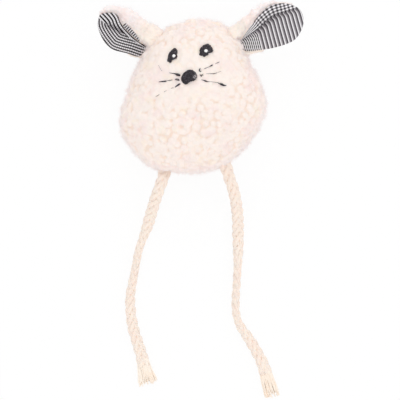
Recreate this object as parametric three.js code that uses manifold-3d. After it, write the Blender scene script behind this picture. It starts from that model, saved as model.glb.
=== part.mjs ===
// A stuffed mouse toy for cats, in millimetres. It lies on its back: +Z points up out of its face,
// +Y runs from the legs to the crown of the head and +X to the right of someone who looks at the face.
// The origin is the middle of the flat patch under the back that it rests on.
import * as THREE from 'three';
import { mergeVertices } from 'three/addons/utils/BufferGeometryUtils.js';
import Module from 'manifold-3d';

const wasm = await Module();
wasm.setup();

// Body, measured over the pile of the fleece
const bodyHalfWidth = 40;
const bodyHalfLength = 41;
const seamHeight = 21;
const frontRise = 26;
const restCut = 0.5;
const fleeceThickness = 4;
const bodyOutlineShares = [0.994, 0.985, 1.03, 1.155, 1.16, 1.095, 1.01, 0.94,
  0.975, 1.02, 0.975, 0.895, 0.86, 0.875, 0.875, 0.92];
const frontRoundness = 2.15;
const backRoundness = 2.8;
const headTaperShare = 0.1;

// Gaps between pieces
const clearance = 0.3;
const cutOverrun = 2;

// Threads
const seamThreadRadius = 0.4;
const seamThreadDepth = 2;
const closingThreadRadius = 0.35;
const closingStitchHeight = 1.6;
const closingStitchPitch = 3;
const closingGapTurn = 9;
const rimThreadRadius = 0.3;

// Catnip sachet in the stuffing
const sachetLength = 22;
const sachetWidth = 17;
const sachetThickness = 8;
const sachetBulge = 0.6;
const sachetSquareness = 4;
const pocketSlitWidth = 14;
const pocketSlitHeight = 2.4;

// Embroidery
const stitchThickness = 0.9;
const whiskerRadius = 0.6;
const highlightRadius = 1;
const highlightThickness = 0.5;
const eyes = {
  left: { placeShares: [-0.279, 0.655], length: 7.2, width: 4.5, tilt: 75, highlightShares: [0.16, -0.01] },
  right: { placeShares: [0.17, 0.727], length: 6.4, width: 5.8, tilt: 90, highlightShares: [0.02, -0.12] },
};
const nose = { placeShares: [-0.05, 0.369], length: 8.4, width: 7.2, tilt: 45 };
const whiskers = {
  left: {
    upper: [[-0.17, 0.405], [-0.31, 0.43], [-0.46, 0.515]],
    middle: [[-0.176, 0.334], [-0.31, 0.325], [-0.445, 0.315]],
    lower: [[-0.163, 0.275], [-0.31, 0.205], [-0.485, 0.122]],
  },
  right: {
    upper: [[0.095, 0.452], [0.21, 0.51], [0.345, 0.572]],
    middle: [[0.108, 0.395], [0.24, 0.42], [0.37, 0.444]],
    lower: [[0.12, 0.334], [0.3, 0.31], [0.47, 0.263]],
  },
};

// Ears: each outline goes round from the crown end of the root, as shares of the ear's length outward
// from the root and towards the crown of the head
const rootTabRadius = 1.2;
const rootTabWidth = 12;
const earRootReach = 1.8;
const rootDepth = 3.5;
const earBackThickness = 2.6;
const earLiningThickness = 0.8;
const crownSpanShare = 0.3;
const cheekSpanShare = 0.45;
const cupStartShare = -0.05;
const cupFullShare = 0.5;
const crownCurl = 1.4;
const cheekCurl = 1.5;
const ears = {
  left: {
    turn: 128,
    crownSide: -1,
    length: 30,
    crownRise: 4,
    cheekRise: 6,
    valleyShares: [-0.03, -0.12],
    backOutlineShares: [[0, 0.27], [0.12, 0.36], [0.34, 0.35], [0.57, 0.29], [0.78, 0.17], [0.86, -0.03],
      [0.81, -0.22], [0.6, -0.38], [0.39, -0.45], [0.17, -0.4], [0, -0.28]],
    liningOutlineShares: [[0, -0.04], [0.17, 0], [0.41, 0.03], [0.6, 0.12], [0.74, 0.02], [0.82, -0.12],
      [0.75, -0.25], [0.58, -0.35], [0.39, -0.41], [0.18, -0.36], [0, -0.24]],
  },
  right: {
    turn: 53,
    crownSide: 1,
    length: 34,
    crownRise: 7,
    cheekRise: 5,
    valleyShares: [0.05, 0.08],
    backOutlineShares: [[0, 0.18], [0.13, 0.26], [0.34, 0.33], [0.54, 0.31], [0.72, 0.22], [0.88, 0.09],
      [0.95, -0.07], [0.89, -0.23], [0.72, -0.38], [0.49, -0.44], [0.22, -0.37], [0, -0.26]],
    liningOutlineShares: [[0, 0.08], [0.14, 0.15], [0.37, 0.21], [0.54, 0.22], [0.7, 0.17], [0.85, 0.06],
      [0.92, -0.08], [0.86, -0.22], [0.7, -0.36], [0.49, -0.41], [0.22, -0.34], [0, -0.22]],
  },
};

// Legs: braided cord, drawn from where it leaves its sewn-in end and down to the table
const cordRadius = 3;
const legRootReach = 2.5;
const legs = {
  left: {
    turn: 245.5,
    heading: -107,
    fringeLength: 10,
    route: [[-16.6, -39, 21], [-18.1, -43.2, 20.4], [-19.8, -47.8, 17.9], [-21.5, -52.8, 13.6],
      [-23.3, -58.6, 8.6], [-25.4, -65, 4.9], [-27.9, -71.5, 3.3], [-30, -78, 3.1], [-31.3, -84.6, 3.1],
      [-32.5, -91.2, 3.1], [-33.8, -97.8, 3.1], [-34.5, -103, 3.1], [-34.4, -108, 3.1], [-33.8, -114.2, 3.1],
      [-32.6, -120.8, 3.1], [-30.6, -127.4, 3.1], [-28.6, -134, 3.1], [-26.9, -140.6, 3.1]],
  },
  right: {
    turn: 300,
    heading: -70,
    fringeLength: 13,
    route: [[19.3, -36.9, 21], [20.9, -41.2, 20.4], [22.3, -46, 18.4], [23.4, -51.2, 14.8], [24.2, -57, 10],
      [24.6, -63.4, 5.8], [24.7, -70, 3.6], [24.7, -77.4, 3.1], [24.5, -84.6, 3.1], [24.1, -91.2, 3.1],
      [23.7, -97.8, 3.1], [23.3, -104.4, 3.1], [23.4, -110.4, 3.1], [24.5, -115.6, 3.1], [26.8, -120.2, 3.1],
      [29.7, -124.3, 3.1], [32.3, -128.3, 3.1], [34.6, -132.3, 3.1], [36.8, -136.3, 3.1], [38.6, -140.4, 3.1],
      [39.8, -144.6, 3.1]],
  },
};
const fringeProfileShares = [[0, 0], [1, 0], [1.15, 0.3], [1.5, 0.75], [1.2, 1], [0, 1]];
const fringeFlatShare = 0.62;

// Facets
const bodySides = 40;
const shellRings = 7;
const liningRings = 5;
const sachetRings = 4;
const seamThreadSteps = 54;
const patchSides = 16;
const patchRings = 2;
const earSides = 30;
const earRings = 3;
const threadSides = 6;
const cordSides = 10;
const roundSides = 14;

function material(name, color, roughness) {
  return new THREE.MeshStandardMaterial({ name, color, roughness, metalness: 0 });
}
const creamFleece = material('cream_fleece', 0xfbede4, 0.95);
const creamEarFleece = material('cream_ear_fleece', 0xf6eaea, 0.95);
const checkCotton = material('check_cotton', 0x949095, 0.9);
const blackThread = material('black_thread', 0x2f292e, 0.7);
const whiteThread = material('white_thread', 0xf8f6f4, 0.7);
const creamThread = material('cream_thread', 0xf3e4d4, 0.8);
const cottonCord = material('cotton_cord', 0xf8ead9, 0.9);
const fibreFill = material('fibre_fill', 0xffffff, 1);
const sachetCloth = material('sachet_cloth', 0xd9d2bd, 0.95);

function toRadians(degrees) {
  return THREE.MathUtils.degToRad(degrees);
}

// Value of a list of shares spread evenly round a full turn, on a smooth closed curve through them
function shareAt(shares, turn) {
  const place = THREE.MathUtils.euclideanModulo(turn / (2 * Math.PI), 1) * shares.length;
  const first = Math.floor(place);
  const [before, here, next, after] = [-1, 0, 1, 2].map(
    (step) => shares[(first + step + shares.length) % shares.length]);
  const t = place - first;
  const slope = (next - before) / 2;
  const nextSlope = (after - here) / 2;
  const square = 3 * (next - here) - 2 * slope - nextSlope;
  const cube = 2 * (here - next) + slope + nextSlope;
  return here + t * (slope + t * (square + t * cube));
}

// Edge of the body at the seam, moved inward by inset
function bodyEdge(turn, inset) {
  const share = shareAt(bodyOutlineShares, turn);
  const edge = new THREE.Vector2(bodyHalfWidth * Math.cos(turn), bodyHalfLength * Math.sin(turn));
  edge.multiplyScalar(share);
  return edge.setLength(edge.length() - inset);
}

// Direction square to the body's edge, pointing away from it, as an angle
function bodyEdgeHeading(turn) {
  const step = Math.PI / 180;
  const along = bodyEdge(turn + step, 0).sub(bodyEdge(turn - step, 0));
  return along.angle() - Math.PI / 2;
}

// The front is lower over the head than over the belly
function frontFullness(y) {
  return 1 - headTaperShare * Math.max(y, 0) / bodyHalfLength;
}

// A point of the body: climb goes from 0 at the seam to 1 in the middle of the front or back
function bodyPoint(turn, climb, side, inset) {
  const roundness = side > 0 ? frontRoundness : backRoundness;
  const rise = (side > 0 ? frontRise : seamHeight + restCut) - inset;
  const lift = climb * Math.PI / 2;
  const edge = bodyEdge(turn, inset).multiplyScalar(Math.cos(lift) ** (2 / roundness));
  const fullness = side > 0 ? frontFullness(edge.y) : 1;
  const swell = rise * fullness * Math.sin(lift) ** (2 / roundness);
  return new THREE.Vector3(edge.x, edge.y, seamHeight + side * (clearance / 2 + swell));
}

// Height of the front of the body above the table
function faceHeight(x, y) {
  const turn = Math.atan2(y / bodyHalfLength, x / bodyHalfWidth);
  const reach = Math.hypot(x, y) / bodyEdge(turn, 0).length();
  const swell = (1 - reach ** frontRoundness) ** (1 / frontRoundness);
  return seamHeight + clearance / 2 + frontRise * frontFullness(y) * swell;
}

// Closed solid through a row of rings of points; a ring of one point closes an end
function solidOfRings(rings, flipped) {
  const sides = Math.max(...rings.map((ring) => ring.length));
  const positions = [];
  const starts = [];
  for (const ring of rings) {
    starts.push(positions.length / 3);
    ring.forEach((point) => positions.push(point.x, point.y, point.z));
  }
  const corner = (ring, side) => starts[ring] + (rings[ring].length > 1 ? side % sides : 0);
  const index = [];
  const addTriangle = (a, b, c) => index.push(...(flipped ? [a, b, c] : [a, c, b]));
  for (let ring = 0; ring + 1 < rings.length; ring += 1) {
    for (let side = 0; side < sides; side += 1) {
      if (rings[ring].length > 1) {
        addTriangle(corner(ring, side), corner(ring, side + 1), corner(ring + 1, side + 1));
      }
      if (rings[ring + 1].length > 1) {
        addTriangle(corner(ring, side), corner(ring + 1, side + 1), corner(ring + 1, side));
      }
    }
  }
  const geometry = new THREE.BufferGeometry();
  geometry.setAttribute('position', new THREE.Float32BufferAttribute(positions, 3));
  geometry.setIndex(index);
  geometry.computeVertexNormals();
  return geometry;
}

function toSolid(geometry) {
  const bare = geometry.clone();
  bare.deleteAttribute('normal');
  bare.deleteAttribute('uv');
  const merged = mergeVertices(bare);
  const vertProperties = merged.attributes.position.array;
  const triVerts = Uint32Array.from(merged.index.array);
  return new wasm.Manifold(new wasm.Mesh({ numProp: 3, vertProperties, triVerts }));
}

function toGeometry(solid) {
  const mesh = solid.getMesh();
  const geometry = new THREE.BufferGeometry();
  geometry.setAttribute('position', new THREE.Float32BufferAttribute(mesh.vertProperties, 3));
  geometry.setIndex(new THREE.BufferAttribute(mesh.triVerts, 1));
  geometry.computeVertexNormals();
  return geometry;
}

function cutAway(geometry, cutters) {
  let solid = toSolid(geometry);
  for (const cutter of cutters) {
    solid = solid.subtract(toSolid(cutter));
  }
  return toGeometry(solid);
}

function tube(path, radius, sides, steps) {
  const section = new THREE.Shape();
  for (let side = 0; side < sides; side += 1) {
    const turn = 2 * Math.PI * side / sides;
    const corner = [radius * Math.cos(turn), radius * Math.sin(turn)];
    if (side === 0) {
      section.moveTo(...corner);
    } else {
      section.lineTo(...corner);
    }
  }
  section.closePath();
  return new THREE.ExtrudeGeometry(section, { steps, extrudePath: path, bevelEnabled: false });
}

function named(name, geometry, finish) {
  const mesh = new THREE.Mesh(geometry, finish);
  mesh.name = name;
  return mesh;
}

// Rings of the body's front or back, from the middle out to the seam
function bodyRings(side, inset, count) {
  const rings = [[bodyPoint(0, 1, side, inset)]];
  for (let ring = count - 1; ring >= 0; ring -= 1) {
    rings.push(Array.from({ length: bodySides },
      (_, step) => bodyPoint(2 * Math.PI * step / bodySides, ring / count, side, inset)));
  }
  return rings;
}

// One panel of fleece: outside, the edge at the seam with its thread groove, and inside
function panelGeometry(side) {
  const grooveReach = (seamThreadRadius + clearance) * Math.SQRT2;
  const grooveInsets = [seamThreadDepth - grooveReach, seamThreadDepth, seamThreadDepth + grooveReach];
  const groove = grooveInsets.map((inset, place) => Array.from({ length: bodySides }, (_, step) => {
    const edge = bodyEdge(2 * Math.PI * step / bodySides, inset);
    const depth = place === 1 ? grooveReach : 0;
    return new THREE.Vector3(edge.x, edge.y, seamHeight + side * (clearance / 2 + depth));
  }));
  const inside = bodyRings(side, fleeceThickness, liningRings).reverse();
  return solidOfRings([...bodyRings(side, 0, shellRings), ...groove, ...inside], side < 0);
}

function stuffingGeometry() {
  const inset = fleeceThickness + clearance;
  const back = bodyRings(-1, inset, liningRings).reverse();
  const whole = solidOfRings([...bodyRings(1, inset, liningRings), ...back], false);
  const slitLength = bodyHalfLength + cutOverrun;
  const slit = new THREE.BoxGeometry(pocketSlitWidth, slitLength, pocketSlitHeight);
  slit.translate(0, -slitLength / 2, seamHeight);
  return cutAway(whole, [sachetGeometry(clearance), slit]);
}

// A small pillow, grown by extra on every side
function sachetGeometry(extra) {
  const half = new THREE.Vector3(sachetWidth / 2, sachetLength / 2, sachetThickness / 2).addScalar(extra);
  const centre = new THREE.Vector3(0, 0, seamHeight);
  const rings = [[new THREE.Vector3(0, 0, 1).multiply(half).add(centre)]];
  for (let ring = 1; ring < 2 * sachetRings; ring += 1) {
    const lift = Math.PI / 2 * (1 - ring / sachetRings);
    rings.push(Array.from({ length: patchSides }, (_, step) => {
      const turn = 2 * Math.PI * step / patchSides;
      const across = Math.cos(turn);
      const along = Math.sin(turn);
      const corner = Math.abs(across) ** sachetSquareness + Math.abs(along) ** sachetSquareness;
      const reach = Math.cos(lift) ** sachetBulge * corner ** (-1 / sachetSquareness);
      const unit = new THREE.Vector3(reach * across, reach * along, Math.sin(lift));
      return unit.multiply(half).add(centre);
    }));
  }
  rings.push([new THREE.Vector3(0, 0, -1).multiply(half).add(centre)]);
  return solidOfRings(rings, false);
}

// The thread of the body seam, from one end of the closing gap round the head to the other
function seamThreadGeometry(radius, sides) {
  const start = toRadians(legs.right.turn - closingGapTurn - 360);
  const end = toRadians(legs.left.turn + closingGapTurn);
  const points = Array.from({ length: seamThreadSteps + 1 }, (_, step) => {
    const turn = THREE.MathUtils.lerp(start, end, step / seamThreadSteps);
    const edge = bodyEdge(turn, seamThreadDepth);
    return new THREE.Vector3(edge.x, edge.y, seamHeight);
  });
  return tube(new THREE.CatmullRomCurve3(points), radius, sides, seamThreadSteps);
}

// The ladder stitch that closes the gap between the legs, zigzag over the seam
function closingThreadGeometry() {
  const start = toRadians(legs.left.turn + closingGapTurn);
  const end = toRadians(legs.right.turn - closingGapTurn);
  const run = bodyEdge(start, 0).distanceTo(bodyEdge(end, 0));
  const stitches = Math.round(run / closingStitchPitch) * 2;
  const points = Array.from({ length: stitches + 1 }, (_, step) => {
    const edge = bodyEdge(THREE.MathUtils.lerp(start, end, step / stitches), -clearance - closingThreadRadius);
    const side = step % 2 === 0 ? 1 : -1;
    return new THREE.Vector3(edge.x, edge.y, seamHeight + side * closingStitchHeight);
  });
  return tube(new THREE.CatmullRomCurve3(points), closingThreadRadius, threadSides, stitches * 3);
}

// A stitched patch laid over the face: an oval round a middle, a gap above the fleece
function patchGeometry(middle, length, width, tilt, gap, thickness) {
  const point = (step, share, height) => {
    const turn = 2 * Math.PI * step / patchSides;
    const offset = new THREE.Vector2(length / 2 * Math.cos(turn), width / 2 * Math.sin(turn));
    offset.multiplyScalar(share).rotateAround(new THREE.Vector2(), toRadians(tilt)).add(middle);
    return new THREE.Vector3(offset.x, offset.y, faceHeight(offset.x, offset.y) + height);
  };
  const ringAt = (share, height) => Array.from({ length: patchSides }, (_, step) => point(step, share, height));
  const top = [[point(0, 0, gap + thickness)]];
  const bottom = [[point(0, 0, gap)]];
  for (let ring = 1; ring <= patchRings; ring += 1) {
    const share = ring / patchRings;
    top.push(ringAt(share, gap + thickness * (ring < patchRings ? 1 : 0.5)));
    bottom.push(ringAt(share, gap));
  }
  return solidOfRings([...top, ...bottom.reverse()], false);
}

function facePlace([acrossShare, upShare]) {
  return new THREE.Vector2(acrossShare * bodyHalfWidth, upShare * bodyHalfLength);
}

function whiskerGeometry(placeShares) {
  const flat = new THREE.SplineCurve(placeShares.map(facePlace));
  const steps = 6;
  const points = flat.getSpacedPoints(steps).map((place) => new THREE.Vector3(
    place.x, place.y, faceHeight(place.x, place.y) + clearance + whiskerRadius));
  return tube(new THREE.CatmullRomCurve3(points), whiskerRadius, threadSides, steps);
}

function addFace(toy) {
  for (const [side, eye] of Object.entries(eyes)) {
    const middle = facePlace(eye.placeShares);
    const patch = patchGeometry(middle, eye.length, eye.width, eye.tilt, clearance, stitchThickness);
    toy.add(named(`eye_${side}`, patch, blackThread));
    const light = middle.clone().add(new THREE.Vector2(...eye.highlightShares).multiplyScalar(eye.length));
    const spot = patchGeometry(light, 2 * highlightRadius, 2 * highlightRadius, 0,
      2 * clearance + stitchThickness, highlightThickness);
    toy.add(named(`eye_${side}_highlight`, spot, whiteThread));
  }
  const tip = patchGeometry(facePlace(nose.placeShares), nose.length, nose.width, nose.tilt, clearance,
    stitchThickness);
  toy.add(named('nose', tip, blackThread));
  for (const [side, rows] of Object.entries(whiskers)) {
    for (const [row, placeShares] of Object.entries(rows)) {
      toy.add(named(`whisker_${side}_${row}`, whiskerGeometry(placeShares), blackThread));
    }
  }
}

// Height of an ear's cloth above its root line: it is folded along a valley and cupped to the front
function earLift(ear, out, crown) {
  const along = THREE.MathUtils.clamp(out / ear.length, 0, 1);
  const valley = ear.length * THREE.MathUtils.lerp(...ear.valleyShares, along);
  const away = (crown - valley) / ear.length;
  const crownLift = ear.crownRise * (Math.max(away, 0) / crownSpanShare) ** crownCurl;
  const cheekLift = ear.cheekRise * (Math.max(-away, 0) / cheekSpanShare) ** cheekCurl;
  return (crownLift + cheekLift) * THREE.MathUtils.smoothstep(along, cupStartShare, cupFullShare);
}

function earOutline(ear, outlineShares) {
  const points = outlineShares.map(
    ([out, crown]) => new THREE.Vector3(out * ear.length, crown * ear.length, 0));
  const curve = new THREE.CatmullRomCurve3(points, true);
  const start = rootTabRadius + clearance;
  return curve.getSpacedPoints(earSides).slice(0, earSides).map(
    (point) => new THREE.Vector2(start + Math.max(point.x, 0), point.y));
}

// A layer of an ear between two heights above the cupped surface, in the frame of its root line
function earLayerGeometry(ear, outlineShares, low, high) {
  const outline = earOutline(ear, outlineShares);
  const middle = outline.reduce((sum, point) => sum.add(point), new THREE.Vector2()).divideScalar(earSides);
  const place = (point, share, height) => {
    const [out, crown] = middle.clone().lerp(point, share).toArray();
    return new THREE.Vector3(out, ear.crownSide * crown, earLift(ear, out, crown) + height);
  };
  const rings = [[place(middle, 0, high)]];
  for (let ring = 1; ring <= earRings; ring += 1) {
    rings.push(outline.map((point) => place(point, ring / earRings, high)));
  }
  for (let ring = earRings; ring >= 1; ring -= 1) {
    rings.push(outline.map((point) => place(point, ring / earRings, low)));
  }
  rings.push([place(middle, 0, low)]);
  return solidOfRings(rings, ear.crownSide > 0);
}

// The thread along the rim, between the fleece and the lining
function rimThreadGeometry(ear, height) {
  const outline = earOutline(ear, ear.liningOutlineShares);
  const middle = outline.reduce((sum, point) => sum.add(point), new THREE.Vector2()).divideScalar(earSides);
  const inset = 2 * rimThreadRadius + clearance;
  const points = outline.map((point) => {
    const [out, crown] = point.sub(middle).setLength(point.length() - inset).add(middle).toArray();
    return new THREE.Vector3(out, ear.crownSide * crown, earLift(ear, out, crown) + height);
  });
  return tube(new THREE.CatmullRomCurve3(points), rimThreadRadius, threadSides, earSides);
}

// The raw end of an ear that is caught in the seam, round on the root line
function rootTabGeometry(extra) {
  const radius = rootTabRadius + extra;
  const depth = earRootReach + rootDepth + extra;
  const profile = new THREE.Shape();
  profile.moveTo(0, radius);
  profile.lineTo(-depth, radius);
  profile.lineTo(-depth, -radius);
  profile.lineTo(0, -radius);
  profile.absarc(0, 0, radius, -Math.PI / 2, Math.PI / 2, false);
  const width = rootTabWidth + 2 * extra;
  const curveSegments = roundSides / 2;
  const tab = new THREE.ExtrudeGeometry(profile, { depth: width, bevelEnabled: false, curveSegments });
  return tab.translate(0, 0, -width / 2).rotateX(Math.PI / 2);
}

// The end of a leg cord that is caught in the seam, round on the point where the leg turns
function legRootGeometry(extra) {
  const radius = cordRadius + extra;
  const steps = 4;
  const depth = legRootReach + rootDepth + extra;
  const profile = [new THREE.Vector2(0, -depth), new THREE.Vector2(radius, -depth)];
  for (let step = 0; step <= steps; step += 1) {
    const lift = Math.PI / 2 * step / steps;
    profile.push(new THREE.Vector2(step === steps ? 0 : radius * Math.cos(lift), radius * Math.sin(lift)));
  }
  return new THREE.LatheGeometry(profile, roundSides).rotateZ(-Math.PI / 2);
}

// Frame of a root near the body's edge: its X axis points away from the body
function rootFrame(turn, heading, reach) {
  const edge = bodyEdge(turn, 0);
  const out = new THREE.Vector2(Math.cos(heading), Math.sin(heading)).multiplyScalar(reach);
  return new THREE.Matrix4().makeRotationZ(heading).setPosition(edge.x + out.x, edge.y + out.y, seamHeight);
}

function groupAt(frame) {
  const group = new THREE.Group();
  frame.decompose(group.position, group.quaternion, group.scale);
  return group;
}

// Pierces a root piece where the thread of the seam goes through it
function pierced(geometry, frame) {
  const thread = seamThreadGeometry(seamThreadRadius + clearance, threadSides);
  return cutAway(geometry, [thread.applyMatrix4(frame.clone().invert())]);
}

function addEar(toy, side, ear) {
  const turn = toRadians(ear.turn);
  const frame = rootFrame(turn, bodyEdgeHeading(turn), earRootReach);
  const group = groupAt(frame);
  const half = earBackThickness / 2;
  const threadHeight = half + clearance + rimThreadRadius;
  const liningHeight = threadHeight + rimThreadRadius + clearance;
  const back = earLayerGeometry(ear, ear.backOutlineShares, -half, half);
  const liningTop = liningHeight + earLiningThickness;
  const lining = earLayerGeometry(ear, ear.liningOutlineShares, liningHeight, liningTop);
  group.add(named(`ear_${side}_back`, back, creamEarFleece));
  group.add(named(`ear_${side}_lining`, lining, checkCotton));
  group.add(named(`ear_${side}_edge_thread`, rimThreadGeometry(ear, threadHeight), creamThread));
  group.add(named(`ear_${side}_root_tab`, pierced(rootTabGeometry(0), frame), creamEarFleece));
  toy.add(group);
  return rootTabGeometry(clearance).applyMatrix4(frame);
}

// The frayed end of a cord: it spreads, then closes, and is flatter than it is wide
function fringeGeometry(length) {
  const points = fringeProfileShares.map(
    ([radiusShare, lengthShare]) => new THREE.Vector2(radiusShare * cordRadius, lengthShare * length));
  return new THREE.LatheGeometry(points, roundSides).rotateZ(-Math.PI / 2).scale(1, 1, fringeFlatShare);
}

function addLeg(toy, side, leg) {
  const frame = rootFrame(toRadians(leg.turn), toRadians(leg.heading), legRootReach);
  const root = groupAt(frame);
  root.add(named(`leg_${side}_root`, pierced(legRootGeometry(0), frame), cottonCord));
  toy.add(root);
  const path = new THREE.CatmullRomCurve3(leg.route.map((point) => new THREE.Vector3(...point)));
  const steps = Math.round(path.getLength() / (4 * cordRadius));
  toy.add(named(`leg_${side}_cord`, tube(path, cordRadius, cordSides, steps), cottonCord));
  const end = path.getPoint(1);
  const away = path.getTangent(1).setZ(0).normalize();
  const fringe = named(`leg_${side}_fringe`, fringeGeometry(leg.fringeLength), cottonCord);
  fringe.position.copy(end).addScaledVector(away, clearance);
  fringe.rotation.z = Math.atan2(away.y, away.x);
  toy.add(fringe);
  return legRootGeometry(clearance).applyMatrix4(frame);
}

const toy = new THREE.Group();
const notches = [];
for (const [side, ear] of Object.entries(ears)) {
  notches.push(addEar(toy, side, ear));
}
for (const [side, leg] of Object.entries(legs)) {
  notches.push(addLeg(toy, side, leg));
}
const underTable = new THREE.BoxGeometry(4 * bodyHalfWidth, 4 * bodyHalfLength, 2 * restCut + cutOverrun);
underTable.translate(0, 0, -restCut - cutOverrun / 2);
toy.add(named('front_panel', cutAway(panelGeometry(1), notches), creamFleece));
toy.add(named('back_panel', cutAway(panelGeometry(-1), [...notches, underTable]), creamFleece));
toy.add(named('stuffing', stuffingGeometry(), fibreFill));
toy.add(named('catnip_sachet', sachetGeometry(0), sachetCloth));
toy.add(named('seam_thread', seamThreadGeometry(seamThreadRadius, threadSides), creamThread));
toy.add(named('closing_thread', closingThreadGeometry(), creamThread));
addFace(toy);

export default toy;
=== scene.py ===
import math

import bpy
import numpy as np
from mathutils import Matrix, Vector, kdtree


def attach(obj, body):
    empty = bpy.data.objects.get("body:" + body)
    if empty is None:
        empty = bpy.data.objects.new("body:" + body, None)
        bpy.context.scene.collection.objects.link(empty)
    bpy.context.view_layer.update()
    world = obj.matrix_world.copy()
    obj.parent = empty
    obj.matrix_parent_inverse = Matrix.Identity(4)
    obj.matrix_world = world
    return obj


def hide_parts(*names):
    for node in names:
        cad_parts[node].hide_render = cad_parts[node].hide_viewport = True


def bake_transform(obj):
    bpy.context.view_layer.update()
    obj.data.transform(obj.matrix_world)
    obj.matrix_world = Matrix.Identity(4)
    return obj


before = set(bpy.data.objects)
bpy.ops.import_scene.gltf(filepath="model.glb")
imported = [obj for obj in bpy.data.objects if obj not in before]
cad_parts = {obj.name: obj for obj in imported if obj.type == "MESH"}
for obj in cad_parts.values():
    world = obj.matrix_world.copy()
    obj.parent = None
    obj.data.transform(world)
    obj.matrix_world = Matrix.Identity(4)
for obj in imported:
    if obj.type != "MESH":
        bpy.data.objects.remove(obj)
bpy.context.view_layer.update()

mm = 0.001               # the script thinks in millimetres, Blender in metres
seamHeight = 21.0        # the seam plane, where ears and legs are caught
up = np.array([0.0, 0.0, 1.0])


# Camera

photo = {
    "pixels": 400,
    "mmPerPixel": 0.55,              # at the floor
    "center": (3.77, -49.54),        # the point under the lens
    "height": 1000.0,
    "sensor": 36.0,
}


def addCamera():
    cameraData = bpy.data.cameras.new("camera")
    cameraData.sensor_width = photo["sensor"]
    cameraData.lens = photo["sensor"] * photo["height"] / (photo["pixels"] * photo["mmPerPixel"])
    cameraData.clip_end = 20
    camera = bpy.data.objects.new("camera", cameraData)
    camera.location = (photo["center"][0] * mm, photo["center"][1] * mm, photo["height"] * mm)
    bpy.context.scene.collection.objects.link(camera)
    bpy.context.scene.camera = camera


addCamera()
print("camera is up")


# Small helpers for numbers and meshes

def randomFrom(seed):
    return np.random.default_rng(seed)


def smoothStep(x, low=0.0, high=1.0):
    t = np.clip((np.asarray(x, float) - low) / (high - low), 0, 1)
    return t * t * (3 - 2 * t)


def unit(vectors):
    return vectors / np.maximum(np.linalg.norm(vectors, axis=-1, keepdims=True), 1e-9)


def wobble(points, size, seed, count=14):
    # a soft random field of about unit height, whose waves are size wide
    random = randomFrom(seed)
    directions = unit(random.normal(size=(count, 3))) * (2 * math.pi / size)
    directions *= random.uniform(0.7, 1.4, (count, 1))
    phases = random.uniform(0, 2 * math.pi, count)
    return np.sin(points @ directions.T + phases).sum(axis=1) / math.sqrt(count / 2)


def curls(points, seed):
    # the fine unevenness of boucle, on top of its nubs
    return wobble(points, 1.9, seed + 1) * 0.07 + wobble(points, 1.0, seed + 2) * 0.05


def evenOut(values, reach):
    # a running mean over reach values to each side
    width = 2 * reach + 1
    return np.convolve(np.pad(values, reach, mode="edge"), np.ones(width) / width, "valid")


def lengthAlong(line):
    return np.concatenate([[0], np.cumsum(np.linalg.norm(np.diff(line, axis=0), axis=1))])


def between(a, b, c, d, t):
    # a Catmull-Rom curve from b to c, whose neighbours are a and d
    return 0.5 * (2 * b + (c - a) * t + (2 * a - 5 * b + 4 * c - d) * t ** 2
                  + (3 * b - a - 3 * c + d) * t ** 3)


def smoothCurve(points, count, closed=False):
    # a curve through the points, resampled evenly along its length
    points = np.asarray(points, float)
    if closed:
        padded = np.vstack([points[-1], points, points[:2]])
    else:
        padded = np.vstack([2 * points[0] - points[1], points, 2 * points[-1] - points[-2]])
    t = np.linspace(0, 1, 24, endpoint=False)[:, None]
    fine = [between(*padded[i:i + 4], t) for i in range(len(padded) - 3)]
    fine = np.vstack(fine + [padded[-2][None]])
    along = lengthAlong(fine)
    wanted = np.linspace(0, along[-1], count, endpoint=not closed)
    return np.column_stack([np.interp(wanted, along, fine[:, k]) for k in range(fine.shape[1])])


def makeMesh(name, points, faces, material, smooth=True):
    mesh = bpy.data.meshes.new(name)
    faceList = faces if isinstance(faces, list) else faces.tolist()
    mesh.from_pydata((np.asarray(points) * mm).tolist(), [], faceList)
    mesh.validate()
    if smooth:
        mesh.polygons.foreach_set("use_smooth", [True] * len(mesh.polygons))
    mesh.materials.append(material)
    piece = bpy.data.objects.new(name, mesh)
    bpy.context.scene.collection.objects.link(piece)
    return piece


def pointValues(piece, name, values):
    attribute = piece.data.attributes.new(name, "FLOAT", "POINT")
    attribute.data.foreach_set("value", np.asarray(values, np.float32))


def meshNormals(points, quads):
    # area-weighted vertex normals
    a, b, c, d = (points[quads[:, k]] for k in range(4))
    faceNormals = np.cross(b - a, d - a) + np.cross(d - c, b - c)
    normals = np.zeros_like(points)
    for k in range(4):
        np.add.at(normals, quads[:, k], faceNormals)
    return unit(normals)


def gridQuads(index):
    corners = [index[:-1, :-1], index[1:, :-1], index[1:, 1:], index[:-1, 1:]]
    return np.stack(corners, -1).reshape(-1, 4)


def discGrid(n):
    # a square grid pressed into a disc: even cells, and a rim with 4n points in order
    u, v = np.meshgrid(np.linspace(-1, 1, n + 1), np.linspace(-1, 1, n + 1), indexing="ij")
    wide = np.abs(u) > np.abs(v)
    with np.errstate(divide="ignore", invalid="ignore"):
        reach = np.where(wide, u, v)
        turn = np.where(wide, (math.pi / 4) * v / u, math.pi / 2 - (math.pi / 4) * u / v)
    turn = np.where(reach == 0, 0, turn)
    turn = np.where(reach < 0, turn + math.pi, turn)
    index = np.arange((n + 1) ** 2).reshape(n + 1, n + 1)
    rim = np.concatenate([index[n, :-1], index[::-1, n][:-1], index[0, ::-1][:-1], index[:-1, 0]])
    rim = rim[np.argsort(np.mod(turn.ravel()[rim], 2 * math.pi))]
    return np.abs(reach).ravel(), np.mod(turn.ravel(), 2 * math.pi), gridQuads(index), rim


def onDisc(reach, turn, radius, middle):
    # the grid's points, spread over an outline that radius gives for each turn
    return np.array(middle) + (reach * radius)[:, None] * np.column_stack([np.cos(turn), np.sin(turn)])


def ringQuads(a, b):
    # quads between two closed rings of point numbers
    return np.stack([a, b, np.roll(b, -1), np.roll(a, -1)], -1)


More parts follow.
